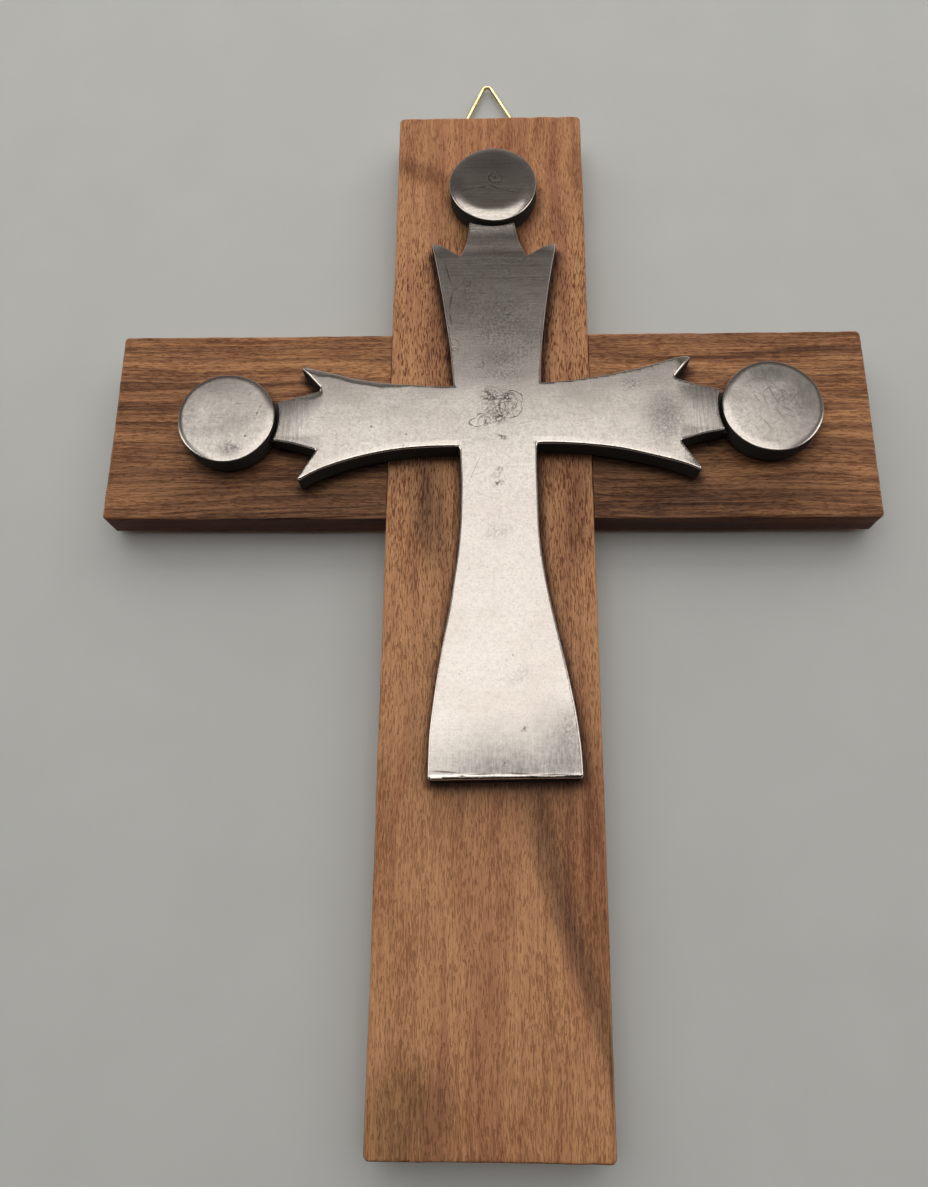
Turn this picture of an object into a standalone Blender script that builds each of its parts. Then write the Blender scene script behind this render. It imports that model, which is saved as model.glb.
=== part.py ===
"""Wall cross: two lapped walnut boards, a cast metal cross on the front and a wire hanger on the back.

Metres, +Z up as the cross hangs, +X to the right of someone who faces it. The front faces -Y and the
wall is the plane y = 0, so the beam's back lies in it. The origin is the middle of the beam's back.
"""

import math

import bmesh
import bpy
from mathutils import Matrix, Vector

MM = 0.001
GAP = 0.3 * MM

# The two boards are of one thickness, and the upright stands a little proud of the beam in front.
BOARD_THICKNESS = 10.5 * MM
BOARD_ROUNDING = 0.8 * MM
UPRIGHT_WIDTH = 60.0 * MM
UPRIGHT_TOP = 112.7 * MM
UPRIGHT_BOTTOM = -193.8 * MM
BEAM_WIDTH = 61.0 * MM
BEAM_LEFT = -113.2 * MM
BEAM_RIGHT = 112.3 * MM
UPRIGHT_PROUD = 0.9 * MM

UPRIGHT_BACK = -UPRIGHT_PROUD
UPRIGHT_FRONT = -UPRIGHT_PROUD - BOARD_THICKNESS
BEAM_FRONT = -BOARD_THICKNESS
LAP_PLANE = UPRIGHT_FRONT / 2

# The casting lies on the upright's face, set by eye: a little to the right and turned a degree.
METAL_CENTRE = (2.4 * MM, 0.0 * MM)
METAL_TURN = math.radians(1.0)
METAL_THICKNESS = 6.8 * MM
METAL_ROUNDING = 0.5 * MM
METAL_BACK = UPRIGHT_FRONT - GAP
METAL_FRONT = METAL_BACK - METAL_THICKNESS
OUTLINE_STEPS = 14

# The backs of the discs lie a hair in front of the casting's, so that no two faces share a plane.
DISC_BACK = METAL_BACK - 0.1 * MM
DISC_FRONT = METAL_FRONT - 0.2 * MM
DISC_ROUNDING = 1.9 * MM
DISC_SIDES = 56
GROOVE_WIDTH = 1.7 * MM
GROOVE_DEPTH = 3.4 * MM

NECK_REACH = 72.0 * MM
NECK_RAMP_START = 57.0 * MM
NECK_RAMP_END = 66.0 * MM
NECK_RAMP_WIDTH = 28.0 * MM
NECK_DIP = 1.9 * MM

# Each arm is described as someone sees it who looks out along it from the crossing, in millimetres.
# Its disc has a distance along the arm, a shift to the left and a radius. Each of its two edges has
# the half width at the root, the tip of the flare, how late the flare opens, the bottom of the notch
# behind the tip and the half width at the end of the neck, under the disc. The casting was cut and
# filed by hand, so no two edges are quite alike.
ARMS = {
    "top": {
        "bearing": 90.0,
        "disc": (80.0, 0.0, 13.7),
        "left": {"root": 12.9, "tip": (58.9, 19.3), "power": 1.35, "notch": (52.7, 9.7), "neck": 6.2},
        "right": {"root": 12.7, "tip": (58.7, 19.4), "power": 1.55, "notch": (52.4, 10.2), "neck": 5.7},
    },
    "right": {
        "bearing": 0.0,
        "disc": (79.6, 0.0, 14.1),
        "left": {"root": 8.9, "tip": (58.0, 17.9), "power": 1.75, "notch": (51.3, 9.4), "neck": 4.0},
        "right": {"root": 10.8, "tip": (58.1, 20.4), "power": 2.1, "notch": (51.7, 10.7), "neck": 5.7},
    },
    "left": {
        "bearing": 180.0,
        "disc": (79.3, 0.4, 13.7),
        "left": {"root": 11.2, "tip": (58.9, 21.5), "power": 2.65, "notch": (52.4, 11.4), "neck": 5.7},
        "right": {"root": 8.4, "tip": (59.4, 17.3), "power": 2.0, "notch": (51.5, 8.4), "neck": 3.3},
    },
}
TIP_ROUNDING = 0.6 * MM
NOTCH_ROUNDING = 0.5 * MM

# The stem below the crossing: half widths at its root, its waist and its foot.
STEM_LENGTH = 105.4 * MM
STEM = {
    "left": {"root": 11.6, "waist": 10.9, "foot": 20.2, "opens": 27.0, "closes": 104.0},
    "right": {"root": 11.1, "waist": 10.7, "foot": 19.8, "opens": 34.0, "closes": 103.5},
}
STEM_WAIST_AT = 20.0 * MM
FOOT_ROUNDING = 0.9 * MM

# The hanger: a wire triangle whose base side turns in the rolled top of a small nailed plate.
WIRE_RADIUS = 0.75 * MM
HANGER_X = 0.5 * MM
LOOP_HALF_BASE = 15.3 * MM
LOOP_HEIGHT = 33.2 * MM
LOOP_LEAN = -1.7 * MM
LOOP_BEND = 1.6 * MM
PIVOT_Z = 106.5 * MM
SHEET = 0.5 * MM
SLEEVE_BORE = 0.95 * MM
PLATE_WIDTH = 14.0 * MM
PLATE_BOTTOM = 92.5 * MM
NAIL_SPACING = 7.0 * MM
NAIL_Z = 97.5 * MM
NAIL_RADIUS = 0.6 * MM
NAIL_HOLE = NAIL_RADIUS + GAP
NAIL_HEAD_RADIUS = 1.7 * MM
NAIL_HEAD_HEIGHT = 0.7 * MM
NAIL_LENGTH = 7.0 * MM

PLATE_FRONT = UPRIGHT_BACK + GAP
PLATE_BACK = PLATE_FRONT + SHEET
SLEEVE_RADIUS = SLEEVE_BORE + SHEET
PIVOT_Y = PLATE_FRONT + SLEEVE_RADIUS


def clear_scene():
    """Removes what the startup scene holds."""
    for obj in list(bpy.data.objects):
        bpy.data.objects.remove(obj, do_unlink=True)


def collection(name):
    """Makes a collection in the scene."""
    made = bpy.data.collections.new(name)
    bpy.context.scene.collection.children.link(made)
    return made


def material(name, colour, roughness, metallic):
    """A Principled material of one colour."""
    made = bpy.data.materials.new(name)
    made.use_nodes = True
    shader = made.node_tree.nodes["Principled BSDF"]
    shader.inputs["Base Color"].default_value = (*colour, 1.0)
    shader.inputs["Roughness"].default_value = roughness
    shader.inputs["Metallic"].default_value = metallic
    made.diffuse_color = (*colour, 1.0)
    return made


def add(name, mesh, group, finish=None):
    """Wraps a mesh in an object, in a collection and with a material."""
    obj = bpy.data.objects.new(name, mesh)
    group.objects.link(obj)
    if finish:
        mesh.materials.clear()
        mesh.materials.append(finish)
    return obj


def mesh_of(name, shape):
    """Turns a bmesh into a mesh and frees it."""
    mesh = bpy.data.meshes.new(name)
    shape.to_mesh(mesh)
    shape.free()
    return mesh


def box(name, low, high):
    """A mesh box between two corners."""
    low, high = Vector(low), Vector(high)
    shape = bmesh.new()
    size = Matrix.Diagonal((*(high - low), 1.0))
    bmesh.ops.create_cube(shape, size=1.0, matrix=Matrix.Translation((low + high) / 2) @ size)
    return mesh_of(name, shape)


def rod(name, radius, start, end, sides):
    """A mesh cylinder between two points that lie on a line along Y."""
    start, end = Vector(start), Vector(end)
    shape = bmesh.new()
    turn = (end - start).to_track_quat("Z", "Y").to_matrix().to_4x4()
    bmesh.ops.create_cone(
        shape, cap_ends=True, segments=sides, radius1=radius, radius2=radius,
        depth=(end - start).length, matrix=Matrix.Translation((start + end) / 2) @ turn,
    )
    return mesh_of(name, shape)


def cut(obj, cutter, operation="DIFFERENCE"):
    """Adds a Boolean to an object."""
    made = obj.modifiers.new(cutter.name, "BOOLEAN")
    made.operation = operation
    made.object = cutter
    made.solver = "EXACT"


def cutter(name, mesh, group):
    """An object that only cuts or joins another, and isn't a part itself."""
    obj = add(name, mesh, group)
    obj.hide_render = True
    obj.display_type = "WIRE"
    return obj


def round_edges(obj, width, segments):
    """Rounds the sharp edges of an object with a Bevel."""
    made = obj.modifiers.new("rounded edges", "BEVEL")
    made.width = width
    made.segments = segments
    made.limit_method = "ANGLE"
    made.angle_limit = math.radians(40)


def rounded(before, corner, after, radius, steps=3):
    """Points of an arc that replaces a corner of an outline."""
    corner = Vector(corner)
    to_before = (Vector(before) - corner).normalized()
    to_after = (Vector(after) - corner).normalized()
    half = to_before.angle(to_after) / 2
    run = radius / math.tan(half)
    centre = corner + (to_before + to_after).normalized() * radius / math.sin(half)
    start = corner + to_before * run - centre
    end = corner + to_after * run - centre
    return [centre + start.lerp(end, i / steps).normalized() * radius for i in range(steps + 1)]


def arm_edge(edge, root_at):
    """One edge of an arm as (along, across) points, from its root to the end of its neck."""
    tip = Vector(edge["tip"]) * MM
    notch = Vector(edge["notch"]) * MM
    root = edge["root"] * MM
    points = []
    for i in range(OUTLINE_STEPS):
        share = i / OUTLINE_STEPS
        along = root_at + (tip.x - root_at) * share
        points.append(Vector((along, root + (tip.y - root) * share ** edge["power"])))
    neck_end = Vector((NECK_REACH, edge["neck"] * MM))
    points += rounded(points[-1], tip, notch, TIP_ROUNDING)
    points += rounded(tip, notch, neck_end, NOTCH_ROUNDING)
    points.append(neck_end)
    return points


def arm_outline(arm, left_root_at, right_root_at):
    """The outline of one arm in the casting's own plane, from its right root out and back to its left root."""
    out = [Vector((p.x, -p.y)) for p in arm_edge(arm["right"], right_root_at)]
    back = arm_edge(arm["left"], left_root_at)[::-1]
    turn = Matrix.Rotation(math.radians(arm["bearing"]), 2)
    return [turn @ p for p in out + back]


def stem_edge(side, arm_root):
    """One edge of the stem as (along, across) points, from just below the arm beside it to its foot."""
    edge = {key: value * MM for key, value in STEM[side].items()}
    start = arm_root + MM
    steps = 3 * OUTLINE_STEPS
    points = []
    for i in range(steps + 1):
        along = start + (STEM_LENGTH - start) * i / steps
        narrowing = min(along / STEM_WAIST_AT, 1.0)
        share = (along - edge["opens"]) / (edge["closes"] - edge["opens"])
        share = min(max(share, 0.0), 1.0)
        smooth = share * share * (3 - 2 * share)
        across = edge["root"] + (edge["waist"] - edge["root"]) * narrowing
        points.append(Vector((along, across + (edge["foot"] - edge["waist"]) * smooth)))
    corner = points.pop()
    return points + rounded(points[-1], corner, (corner.x, 0.0), FOOT_ROUNDING)


def cross_outline():
    """The casting's outline without its discs, counter-clockwise as seen from the front."""
    stem_left, stem_right = STEM["left"]["root"] * MM, STEM["right"]["root"] * MM
    top_left, top_right = ARMS["top"]["left"]["root"] * MM, ARMS["top"]["right"]["root"] * MM
    upper_left, upper_right = ARMS["left"]["right"]["root"] * MM, ARMS["right"]["left"]["root"] * MM
    lower_left, lower_right = ARMS["left"]["left"]["root"] * MM, ARMS["right"]["right"]["root"] * MM
    outline = [Vector((p.y, -p.x)) for p in stem_edge("right", lower_right)[::-1]]
    outline += arm_outline(ARMS["right"], top_right, stem_right)
    outline += arm_outline(ARMS["top"], upper_left, upper_right)[1:]
    outline += arm_outline(ARMS["left"], stem_left, top_left)[1:]
    outline += [Vector((-p.y, -p.x)) for p in stem_edge("left", lower_left)]
    return outline


def flat_curve(name, outlines, half_thickness):
    """A filled flat curve with straight segments, thickened to both sides."""
    curve = bpy.data.curves.new(name, "CURVE")
    curve.dimensions = "2D"
    curve.fill_mode = "BOTH"
    curve.extrude = half_thickness
    for outline in outlines:
        spline = curve.splines.new("POLY")
        spline.points.add(len(outline) - 1)
        for point, place in zip(spline.points, outline):
            point.co = (place[0], place[1], 0.0, 1.0)
        spline.use_cyclic_u = True
    return curve


def curve_as_shape(name, curve, matrix):
    """A closed bmesh made from a curve, in its place."""
    obj = bpy.data.objects.new(name, curve)
    bpy.context.scene.collection.objects.link(obj)
    bpy.context.view_layer.update()
    graph = bpy.context.evaluated_depsgraph_get()
    mesh = bpy.data.meshes.new_from_object(obj.evaluated_get(graph))
    bpy.data.objects.remove(obj, do_unlink=True)
    bpy.data.curves.remove(curve)
    shape = bmesh.new()
    shape.from_mesh(mesh)
    bpy.data.meshes.remove(mesh)
    bmesh.ops.remove_doubles(shape, verts=shape.verts, dist=0.01 * MM)
    shape.transform(matrix)
    return shape


def front_matrix(middle_y):
    """Stands a flat curve up, so that its own +Z faces the front, in the casting's place."""
    place = Matrix.Translation((METAL_CENTRE[0], middle_y, METAL_CENTRE[1]))
    return place @ Matrix.Rotation(-METAL_TURN, 4, "Y") @ Matrix.Rotation(math.radians(90), 4, "X")


def disc_middle(arm):
    """The middle of an arm's disc as (x, z)."""
    along, left, _ = arm["disc"]
    turn = Matrix.Rotation(math.radians(arm["bearing"]) + METAL_TURN, 2)
    return Vector(METAL_CENTRE) + turn @ Vector((along, left)) * MM


def dissolve_flat_front(shape, front_y):
    """Makes one face of the triangles in the front plane, so that only its rim is bevelled."""
    flat = [f for f in shape.faces if all(abs(v.co.y - front_y) < 0.01 * MM for v in f.verts)]
    bmesh.ops.dissolve_faces(shape, faces=flat)


def rim_edges(shape, front_y):
    """The edges round a face in the front plane."""
    return [e for e in shape.edges if all(abs(v.co.y - front_y) < 0.01 * MM for v in e.verts)]


def build_boards(group, cutters, finish_upright, finish_beam):
    """The upright and the beam, each notched to half its thickness where they cross."""
    across, high = UPRIGHT_WIDTH / 2, BEAM_WIDTH / 2
    reach = UPRIGHT_TOP
    upright = add("upright_board", box("upright_board", (-across, UPRIGHT_FRONT, UPRIGHT_BOTTOM),
                                       (across, UPRIGHT_BACK, UPRIGHT_TOP)), group, finish_upright)
    beam = add("cross_beam", box("cross_beam", (BEAM_LEFT, BEAM_FRONT, -high),
                                 (BEAM_RIGHT, 0.0, high)), group, finish_beam)
    for board in (upright, beam):
        round_edges(board, BOARD_ROUNDING, 3)
    across += GAP
    high += GAP
    upright_notch = box("upright_notch", (-reach, LAP_PLANE - GAP / 2, -high), (reach, reach, high))
    beam_notch = box("beam_notch", (-across, -reach, -reach), (across, LAP_PLANE + GAP / 2, reach))
    cut(upright, cutter("upright_notch", upright_notch, cutters))
    cut(beam, cutter("beam_notch", beam_notch, cutters))
    for number, x in enumerate(nail_places()):
        hole = rod("nail_hole", NAIL_HOLE, (x, reach, NAIL_Z), (x, nail_tip() - GAP, NAIL_Z), 12)
        cut(upright, cutter(f"nail_hole_{number}", hole, cutters))
    return upright, beam


def build_casting(group, cutters, finish):
    """The metal cross: a flared outline with a rounded front rim, a disc at the end of each upper arm."""
    curve = flat_curve("cross outline", [cross_outline()], METAL_THICKNESS / 2)
    shape = curve_as_shape("cross outline", curve, front_matrix((METAL_BACK + METAL_FRONT) / 2))
    dissolve_flat_front(shape, METAL_FRONT)
    bmesh.ops.bevel(shape, geom=rim_edges(shape, METAL_FRONT), offset=METAL_ROUNDING, segments=2,
                    profile=0.5, affect="EDGES", clamp_overlap=True, material=-1)
    bmesh.ops.recalc_face_normals(shape, faces=shape.faces)
    casting = add("metal_cross", mesh_of("metal_cross", shape), group, finish)
    for name, arm in ARMS.items():
        cut(casting, cutter(f"{name}_neck_ramp", neck_ramp(arm["bearing"]), cutters))
        cut(casting, cutter(f"{name}_groove", groove(arm), cutters))
        cut(casting, cutter(f"{name}_disc", disc(arm), cutters), "UNION")
    return casting


def neck_ramp(bearing):
    """A wedge that takes the face of a neck down towards its disc."""
    slope = math.atan2(NECK_DIP, NECK_RAMP_END - NECK_RAMP_START)
    length = NECK_REACH / 2
    mesh = box("neck_ramp", (0.0, -length, -NECK_RAMP_WIDTH / 2), (length, 0.0, NECK_RAMP_WIDTH / 2))
    mesh.transform(Matrix.Rotation(slope, 4, "Z"))
    mesh.transform(Matrix.Translation((NECK_RAMP_START, METAL_FRONT, 0.0)))
    mesh.transform(Matrix.Rotation(-math.radians(bearing) - METAL_TURN, 4, "Y"))
    mesh.transform(Matrix.Translation((METAL_CENTRE[0], 0.0, METAL_CENTRE[1])))
    return mesh


def groove(arm):
    """A round cutter, a little wider than the disc, that parts the disc's front from the neck."""
    middle = disc_middle(arm)
    radius = arm["disc"][2] * MM + GROOVE_WIDTH
    floor = METAL_FRONT + GROOVE_DEPTH
    start, end = (middle.x, METAL_FRONT - GROOVE_DEPTH, middle.y), (middle.x, floor, middle.y)
    return rod("groove", radius, start, end, DISC_SIDES)


def disc(arm):
    """A thick round disc with a well rounded front rim, a little proud of the casting's face."""
    middle = disc_middle(arm)
    start, end = (middle.x, DISC_BACK, middle.y), (middle.x, DISC_FRONT, middle.y)
    mesh = rod("disc", arm["disc"][2] * MM, start, end, DISC_SIDES)
    shape = bmesh.new()
    shape.from_mesh(mesh)
    bmesh.ops.bevel(shape, geom=rim_edges(shape, DISC_FRONT), offset=DISC_ROUNDING, segments=4,
                    profile=0.5, affect="EDGES", clamp_overlap=True, material=-1)
    shape.to_mesh(mesh)
    shape.free()
    return mesh


def nail_places():
    """The x of each nail."""
    return [HANGER_X - NAIL_SPACING / 2, HANGER_X + NAIL_SPACING / 2]


def nail_tip():
    """How deep a nail reaches into the upright."""
    return PLATE_BACK + GAP - NAIL_LENGTH


def circle(centre, radius, start, end, steps):
    """Points of an arc, with angles in degrees."""
    angles = [math.radians(start + (end - start) * i / steps) for i in range(steps + 1)]
    return [Vector((centre[0] + radius * math.cos(a), centre[1] + radius * math.sin(a))) for a in angles]


def build_plate(group, cutters, finish):
    """The brass plate: a strip along the wood whose top is rolled into a sleeve for the wire."""
    sleeve = (PIVOT_Y, PIVOT_Z)
    turn_in = math.degrees(math.asin((PLATE_BACK - PIVOT_Y) / SLEEVE_RADIUS))
    outer = [Vector((PLATE_BACK, PLATE_BOTTOM))]
    outer += circle(sleeve, SLEEVE_RADIUS, 270 + turn_in, 540, 20)
    outer.append(Vector((PLATE_FRONT, PLATE_BOTTOM)))
    bore = circle(sleeve, SLEEVE_BORE, 0, 337.5, 15)
    curve = flat_curve("plate profile", [outer, bore], PLATE_WIDTH / 2)
    # The profile is drawn as (y, z), so its own X turns to the world's Y and its own Y to the world's Z.
    stand = Matrix(((0, 0, 1, HANGER_X), (1, 0, 0, 0), (0, 1, 0, 0), (0, 0, 0, 1)))
    shape = curve_as_shape("plate profile", curve, stand)
    bmesh.ops.recalc_face_normals(shape, faces=shape.faces)
    plate = add("hanger_plate", mesh_of("hanger_plate", shape), group, finish)
    for number, x in enumerate(nail_places()):
        hole = rod("plate_hole", NAIL_HOLE, (x, UPRIGHT_BACK, NAIL_Z), (x, PLATE_WIDTH, NAIL_Z), 16)
        cut(plate, cutter(f"plate_hole_{number}", hole, cutters))
    return plate


def build_nails(group, finish):
    """Two round-headed brass nails, each a turned profile."""
    head_back = PLATE_BACK + GAP
    profile = [
        (0.0, NAIL_HEAD_HEIGHT),
        (0.55 * NAIL_HEAD_RADIUS, 0.85 * NAIL_HEAD_HEIGHT),
        (0.9 * NAIL_HEAD_RADIUS, 0.45 * NAIL_HEAD_HEIGHT),
        (NAIL_HEAD_RADIUS, 0.0),
        (NAIL_RADIUS, 0.0),
        (NAIL_RADIUS, -NAIL_LENGTH + 2 * NAIL_RADIUS),
        (0.0, -NAIL_LENGTH),
    ]
    for name, x in zip(("hanger_nail_left", "hanger_nail_right"), nail_places()):
        shape = bmesh.new()
        points = [shape.verts.new((radius, 0.0, height)) for radius, height in profile]
        for first, second in zip(points, points[1:]):
            shape.edges.new((first, second))
        nail = add(name, mesh_of(name, shape), group, finish)
        turned = nail.modifiers.new("turned", "SCREW")
        turned.steps = 16
        turned.render_steps = 16
        turned.use_merge_vertices = True
        turned.merge_threshold = 0.00001
        turned.use_smooth_shade = True
        nail.rotation_euler = (math.radians(-90), 0.0, 0.0)
        nail.location = (x, head_back, NAIL_Z)


def build_loop(group, finish):
    """The wire triangle, with its origin on the axis that it swings about."""
    left, right = Vector((-LOOP_HALF_BASE, 0.0)), Vector((LOOP_HALF_BASE, 0.0))
    apex = Vector((LOOP_LEAN, LOOP_HEIGHT))
    places = rounded(apex, left, right, LOOP_BEND, 5)
    places += rounded(left, right, apex, LOOP_BEND, 5)
    places += rounded(right, apex, left, LOOP_BEND, 5)
    curve = bpy.data.curves.new("hanger_loop", "CURVE")
    curve.dimensions = "3D"
    curve.bevel_depth = WIRE_RADIUS
    curve.bevel_resolution = 3
    spline = curve.splines.new("POLY")
    spline.points.add(len(places) - 1)
    for point, place in zip(spline.points, places):
        point.co = (place.x, 0.0, place.y, 1.0)
    spline.use_cyclic_u = True
    loop = bpy.data.objects.new("hanger_loop", curve)
    curve.materials.append(finish)
    group.objects.link(loop)
    loop.location = (HANGER_X, PIVOT_Y, PIVOT_Z)


def main():
    clear_scene()
    parts = collection("wall_cross")
    cutters = collection("wall_cross_cutters")
    walnut_upright = material("walnut upright", (0.32, 0.17, 0.09), 0.55, 0.0)
    walnut_beam = material("walnut beam", (0.24, 0.12, 0.06), 0.55, 0.0)
    cast_metal = material("cast metal", (0.62, 0.59, 0.55), 0.38, 1.0)
    brass = material("brass", (0.78, 0.62, 0.30), 0.3, 1.0)
    build_boards(parts, cutters, walnut_upright, walnut_beam)
    build_casting(parts, cutters, cast_metal)
    build_plate(parts, cutters, brass)
    build_nails(parts, brass)
    build_loop(parts, brass)
    for obj in parts.objects:
        if obj.type == "MESH" and not obj.name.startswith("hanger_nail"):
            obj.data.shade_smooth()
            obj.data.set_sharp_from_angle(angle=math.radians(35))


main()
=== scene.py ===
# %% [markdown]
# A wall cross: two lapped walnut boards with a hand-finished metal cross on the front, and a brass
# wire hanger on the back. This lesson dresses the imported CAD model. The CAD parts stay as the fixed
# frame, and each visible piece is modelled again here with the detail that the real one shows.
# The lengths of the object are in millimetres until they are multiplied by MM, because a maker
# measures so. The lights are placed in metres.

# %% Load the frame
import math

import bmesh
import bpy
from mathutils import Matrix, Vector, noise
from mathutils.bvhtree import BVHTree


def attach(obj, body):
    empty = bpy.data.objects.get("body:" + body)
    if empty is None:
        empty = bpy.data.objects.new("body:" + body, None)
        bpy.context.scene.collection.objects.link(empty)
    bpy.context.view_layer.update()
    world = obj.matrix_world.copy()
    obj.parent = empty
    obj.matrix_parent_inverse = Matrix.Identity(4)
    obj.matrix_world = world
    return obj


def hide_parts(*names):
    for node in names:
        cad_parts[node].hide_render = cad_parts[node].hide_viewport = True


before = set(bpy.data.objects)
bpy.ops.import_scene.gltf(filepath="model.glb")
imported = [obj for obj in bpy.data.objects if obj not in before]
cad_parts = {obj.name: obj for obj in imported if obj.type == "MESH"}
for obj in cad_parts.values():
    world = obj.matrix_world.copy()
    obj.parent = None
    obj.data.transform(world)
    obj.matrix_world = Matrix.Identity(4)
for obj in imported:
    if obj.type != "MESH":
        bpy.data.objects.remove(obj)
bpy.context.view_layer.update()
MM = 0.001
print("CAD nodes:", sorted(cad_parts))

# %% [markdown]
# The photograph was taken by hand with a wide lens, from below and close to the wall, so the foot of
# the upright looks wide and the top narrow. The camera was fitted to the corners of the boards. A
# camera looks along its own -Z with +Y up, so it is rolled first, then stood level, tilted and panned.

# %% Camera
FOCAL_PIXELS = 940.4
PHOTO_HEIGHT = 1187
SENSOR = 36.0
TILT, PAN, ROLL = 0.30528, 0.03252, 0.00889
CAMERA_PLACE = Vector((0.95, -261.84, -132.42)) * MM
QUARTER = math.radians(90)


def add_object(name, data):
    """Puts data into the scene as an object."""
    made = bpy.data.objects.new(name, data)
    bpy.context.scene.collection.objects.link(made)
    return made


camera_data = bpy.data.cameras.new("camera")
camera_data.sensor_width = SENSOR
camera_data.lens = FOCAL_PIXELS / PHOTO_HEIGHT * SENSOR
camera_data.clip_start = 10 * MM
camera = add_object("camera", camera_data)
camera.matrix_world = Matrix.Translation(CAMERA_PLACE)
for angle, axis in ((PAN, "Z"), (TILT, "X"), (QUARTER, "X"), (ROLL, "Z")):
    camera.matrix_world = camera.matrix_world @ Matrix.Rotation(angle, 4, axis)
bpy.context.scene.camera = camera
print("lens", round(camera_data.lens, 2), "mm")

# %% [markdown]
# A finish is a tree of nodes. This small helper adds a node and wires it in one call, so that a
# recipe below reads like a list of coats. Lengths in a recipe are millimetres, because the first
# Mapping node turns the object's metres into them.

# %% Helper: trees of nodes
class Nodes:
    """A tree of nodes that grows one node at a time."""

    def __init__(self, owner):
        owner.use_nodes = True
        self.tree = owner.node_tree

    def wire(self, socket, value):
        """Links a socket to another node's output, or sets its own value."""
        if isinstance(value, bpy.types.NodeSocket):
            self.tree.links.new(value, socket)
        else:
            socket.default_value = value

    def node(self, kind, inputs, **settings):
        """Adds a node, with its settings and what goes into it."""
        made = self.tree.nodes.new("ShaderNode" + kind)
        for key, value in settings.items():
            setattr(made, key, value)
        for key, value in inputs.items():
            self.wire(made.inputs[key], value)
        return made

    def sum(self, operation, *values):
        """A sum with one, two or three values."""
        return self.node("Math", dict(enumerate(values)), operation=operation).outputs[0]

    def times(self, first, *others):
        """Values multiplied with each other."""
        for other in others:
            first = self.sum("MULTIPLY", first, other)
        return first

    def layered(self, *coats, base=0.0):
        """Adds up coats, each with how much it counts."""
        for coat, share in coats:
            base = self.sum("MULTIPLY_ADD", coat, share, base)
        return base

    def part(self, vector, axis):
        """One of the three numbers of a vector."""
        return self.node("SeparateXYZ", {0: vector}).outputs[axis]

    def tint(self, value, *stops):
        """Colours along a value: each stop is a place from 0 to 1 and its colour."""
        made = self.node("ValToRGB", {"Fac": value})
        elements = made.color_ramp.elements
        while len(elements) < len(stops):
            elements.new(0.5)
        for element, (place, colour) in zip(elements, stops):
            element.position, element.color = place, (*colour, 1.0)
        return made.outputs[0]


print("node helper ready")

# %% [markdown]
# A finish is a Principled material whose coats follow the object. Object coordinates are used,
# because then a pattern stays on the piece wherever it moves. Noise stands for everything that
# has no plan, and a ramp decides from which value on it shows.

# %% Helper: finishes
class Finish(Nodes):
    """A Principled material."""

    def __init__(self, name):
        self.material = bpy.data.materials.new(name)
        super().__init__(self.material)
        self.shader = self.tree.nodes["Principled BSDF"]
        self.coordinates = self.node("TexCoord", {})
        self.place = self.mapped(self.coordinates.outputs["Object"], scale=(1 / MM,) * 3)

    def mapped(self, vector, scale=(1, 1, 1), turn=(0, 0, 0), shift=(0, 0, 0), kind="POINT"):
        """Scales, turns and moves a pattern."""
        turn = [math.radians(angle) for angle in turn]
        inputs = {"Vector": vector, "Scale": scale, "Rotation": turn, "Location": shift}
        return self.node("Mapping", inputs, vector_type=kind).outputs[0]

    def noise(self, vector, scale=1.0, detail=2.0, rough=0.5, output=0):
        """Cloudy noise, from 0 to 1."""
        inputs = {"Vector": vector, "Scale": scale, "Detail": detail, "Roughness": rough}
        return self.node("TexNoise", inputs).outputs[output]

    def stretched(self, vector, scale, detail, rough):
        """Noise with another scale along each axis."""
        return self.noise(self.mapped(vector, scale), 1.0, detail, rough)

    def ramp(self, value, low, high, out_low=0.0, out_high=1.0):
        """Turns a range of values smoothly into another."""
        inputs = {"Value": value, "From Min": low, "From Max": high, "To Min": out_low, "To Max": out_high}
        return self.node("MapRange", inputs, interpolation_type="SMOOTHSTEP").outputs[0]

    def blend(self, share, first, second, kind="MIX"):
        """Lays one colour over another."""
        made = self.node("Mix", {}, data_type="RGBA", blend_type=kind)
        for key, value in ((0, share), (6, first), (7, second)):
            self.wire(made.inputs[key], (*value, 1.0) if isinstance(value, tuple) else value)
        return made.outputs[2]

    def darken(self, share, colour, shade):
        """Multiplies a colour by a shade."""
        return self.blend(share, colour, shade, "MULTIPLY")

    def pushed(self, vector, pattern, amount):
        """Pushes a place aside by a pattern."""
        inputs = {0: pattern, 1: amount, 2: vector}
        return self.node("VectorMath", inputs, operation="MULTIPLY_ADD").outputs[0]

    def wandered(self, pattern, amount):
        """The place, swayed to and fro by a pattern."""
        there = self.pushed(self.place, pattern, (amount, 0.0, amount))
        return self.mapped(there, shift=(-amount / 2, 0.0, -amount / 2))

    def stored(self, name):
        """A number that the mesh holds at every point."""
        return self.node("Attribute", {}, attribute_name=name).outputs["Fac"]

    def normal(self, axis):
        """Which way the surface faces, along one axis."""
        return self.part(self.coordinates.outputs["Normal"], axis)

    def bump(self, height, depth=1.0):
        """Turns heights into relief of that depth in millimetres."""
        return self.node("Bump", {"Height": height, "Distance": depth * MM, "Strength": 1.0}).outputs[0]

    def finish(self, colour, rough, relief, metallic=0.0):
        """Wires the coats to the shader."""
        coats = {"Base Color": colour, "Roughness": rough, "Normal": relief, "Metallic": metallic}
        for key, value in coats.items():
            self.wire(self.shader.inputs[key], value)
        return self.material


print("finish helper ready")

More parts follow.
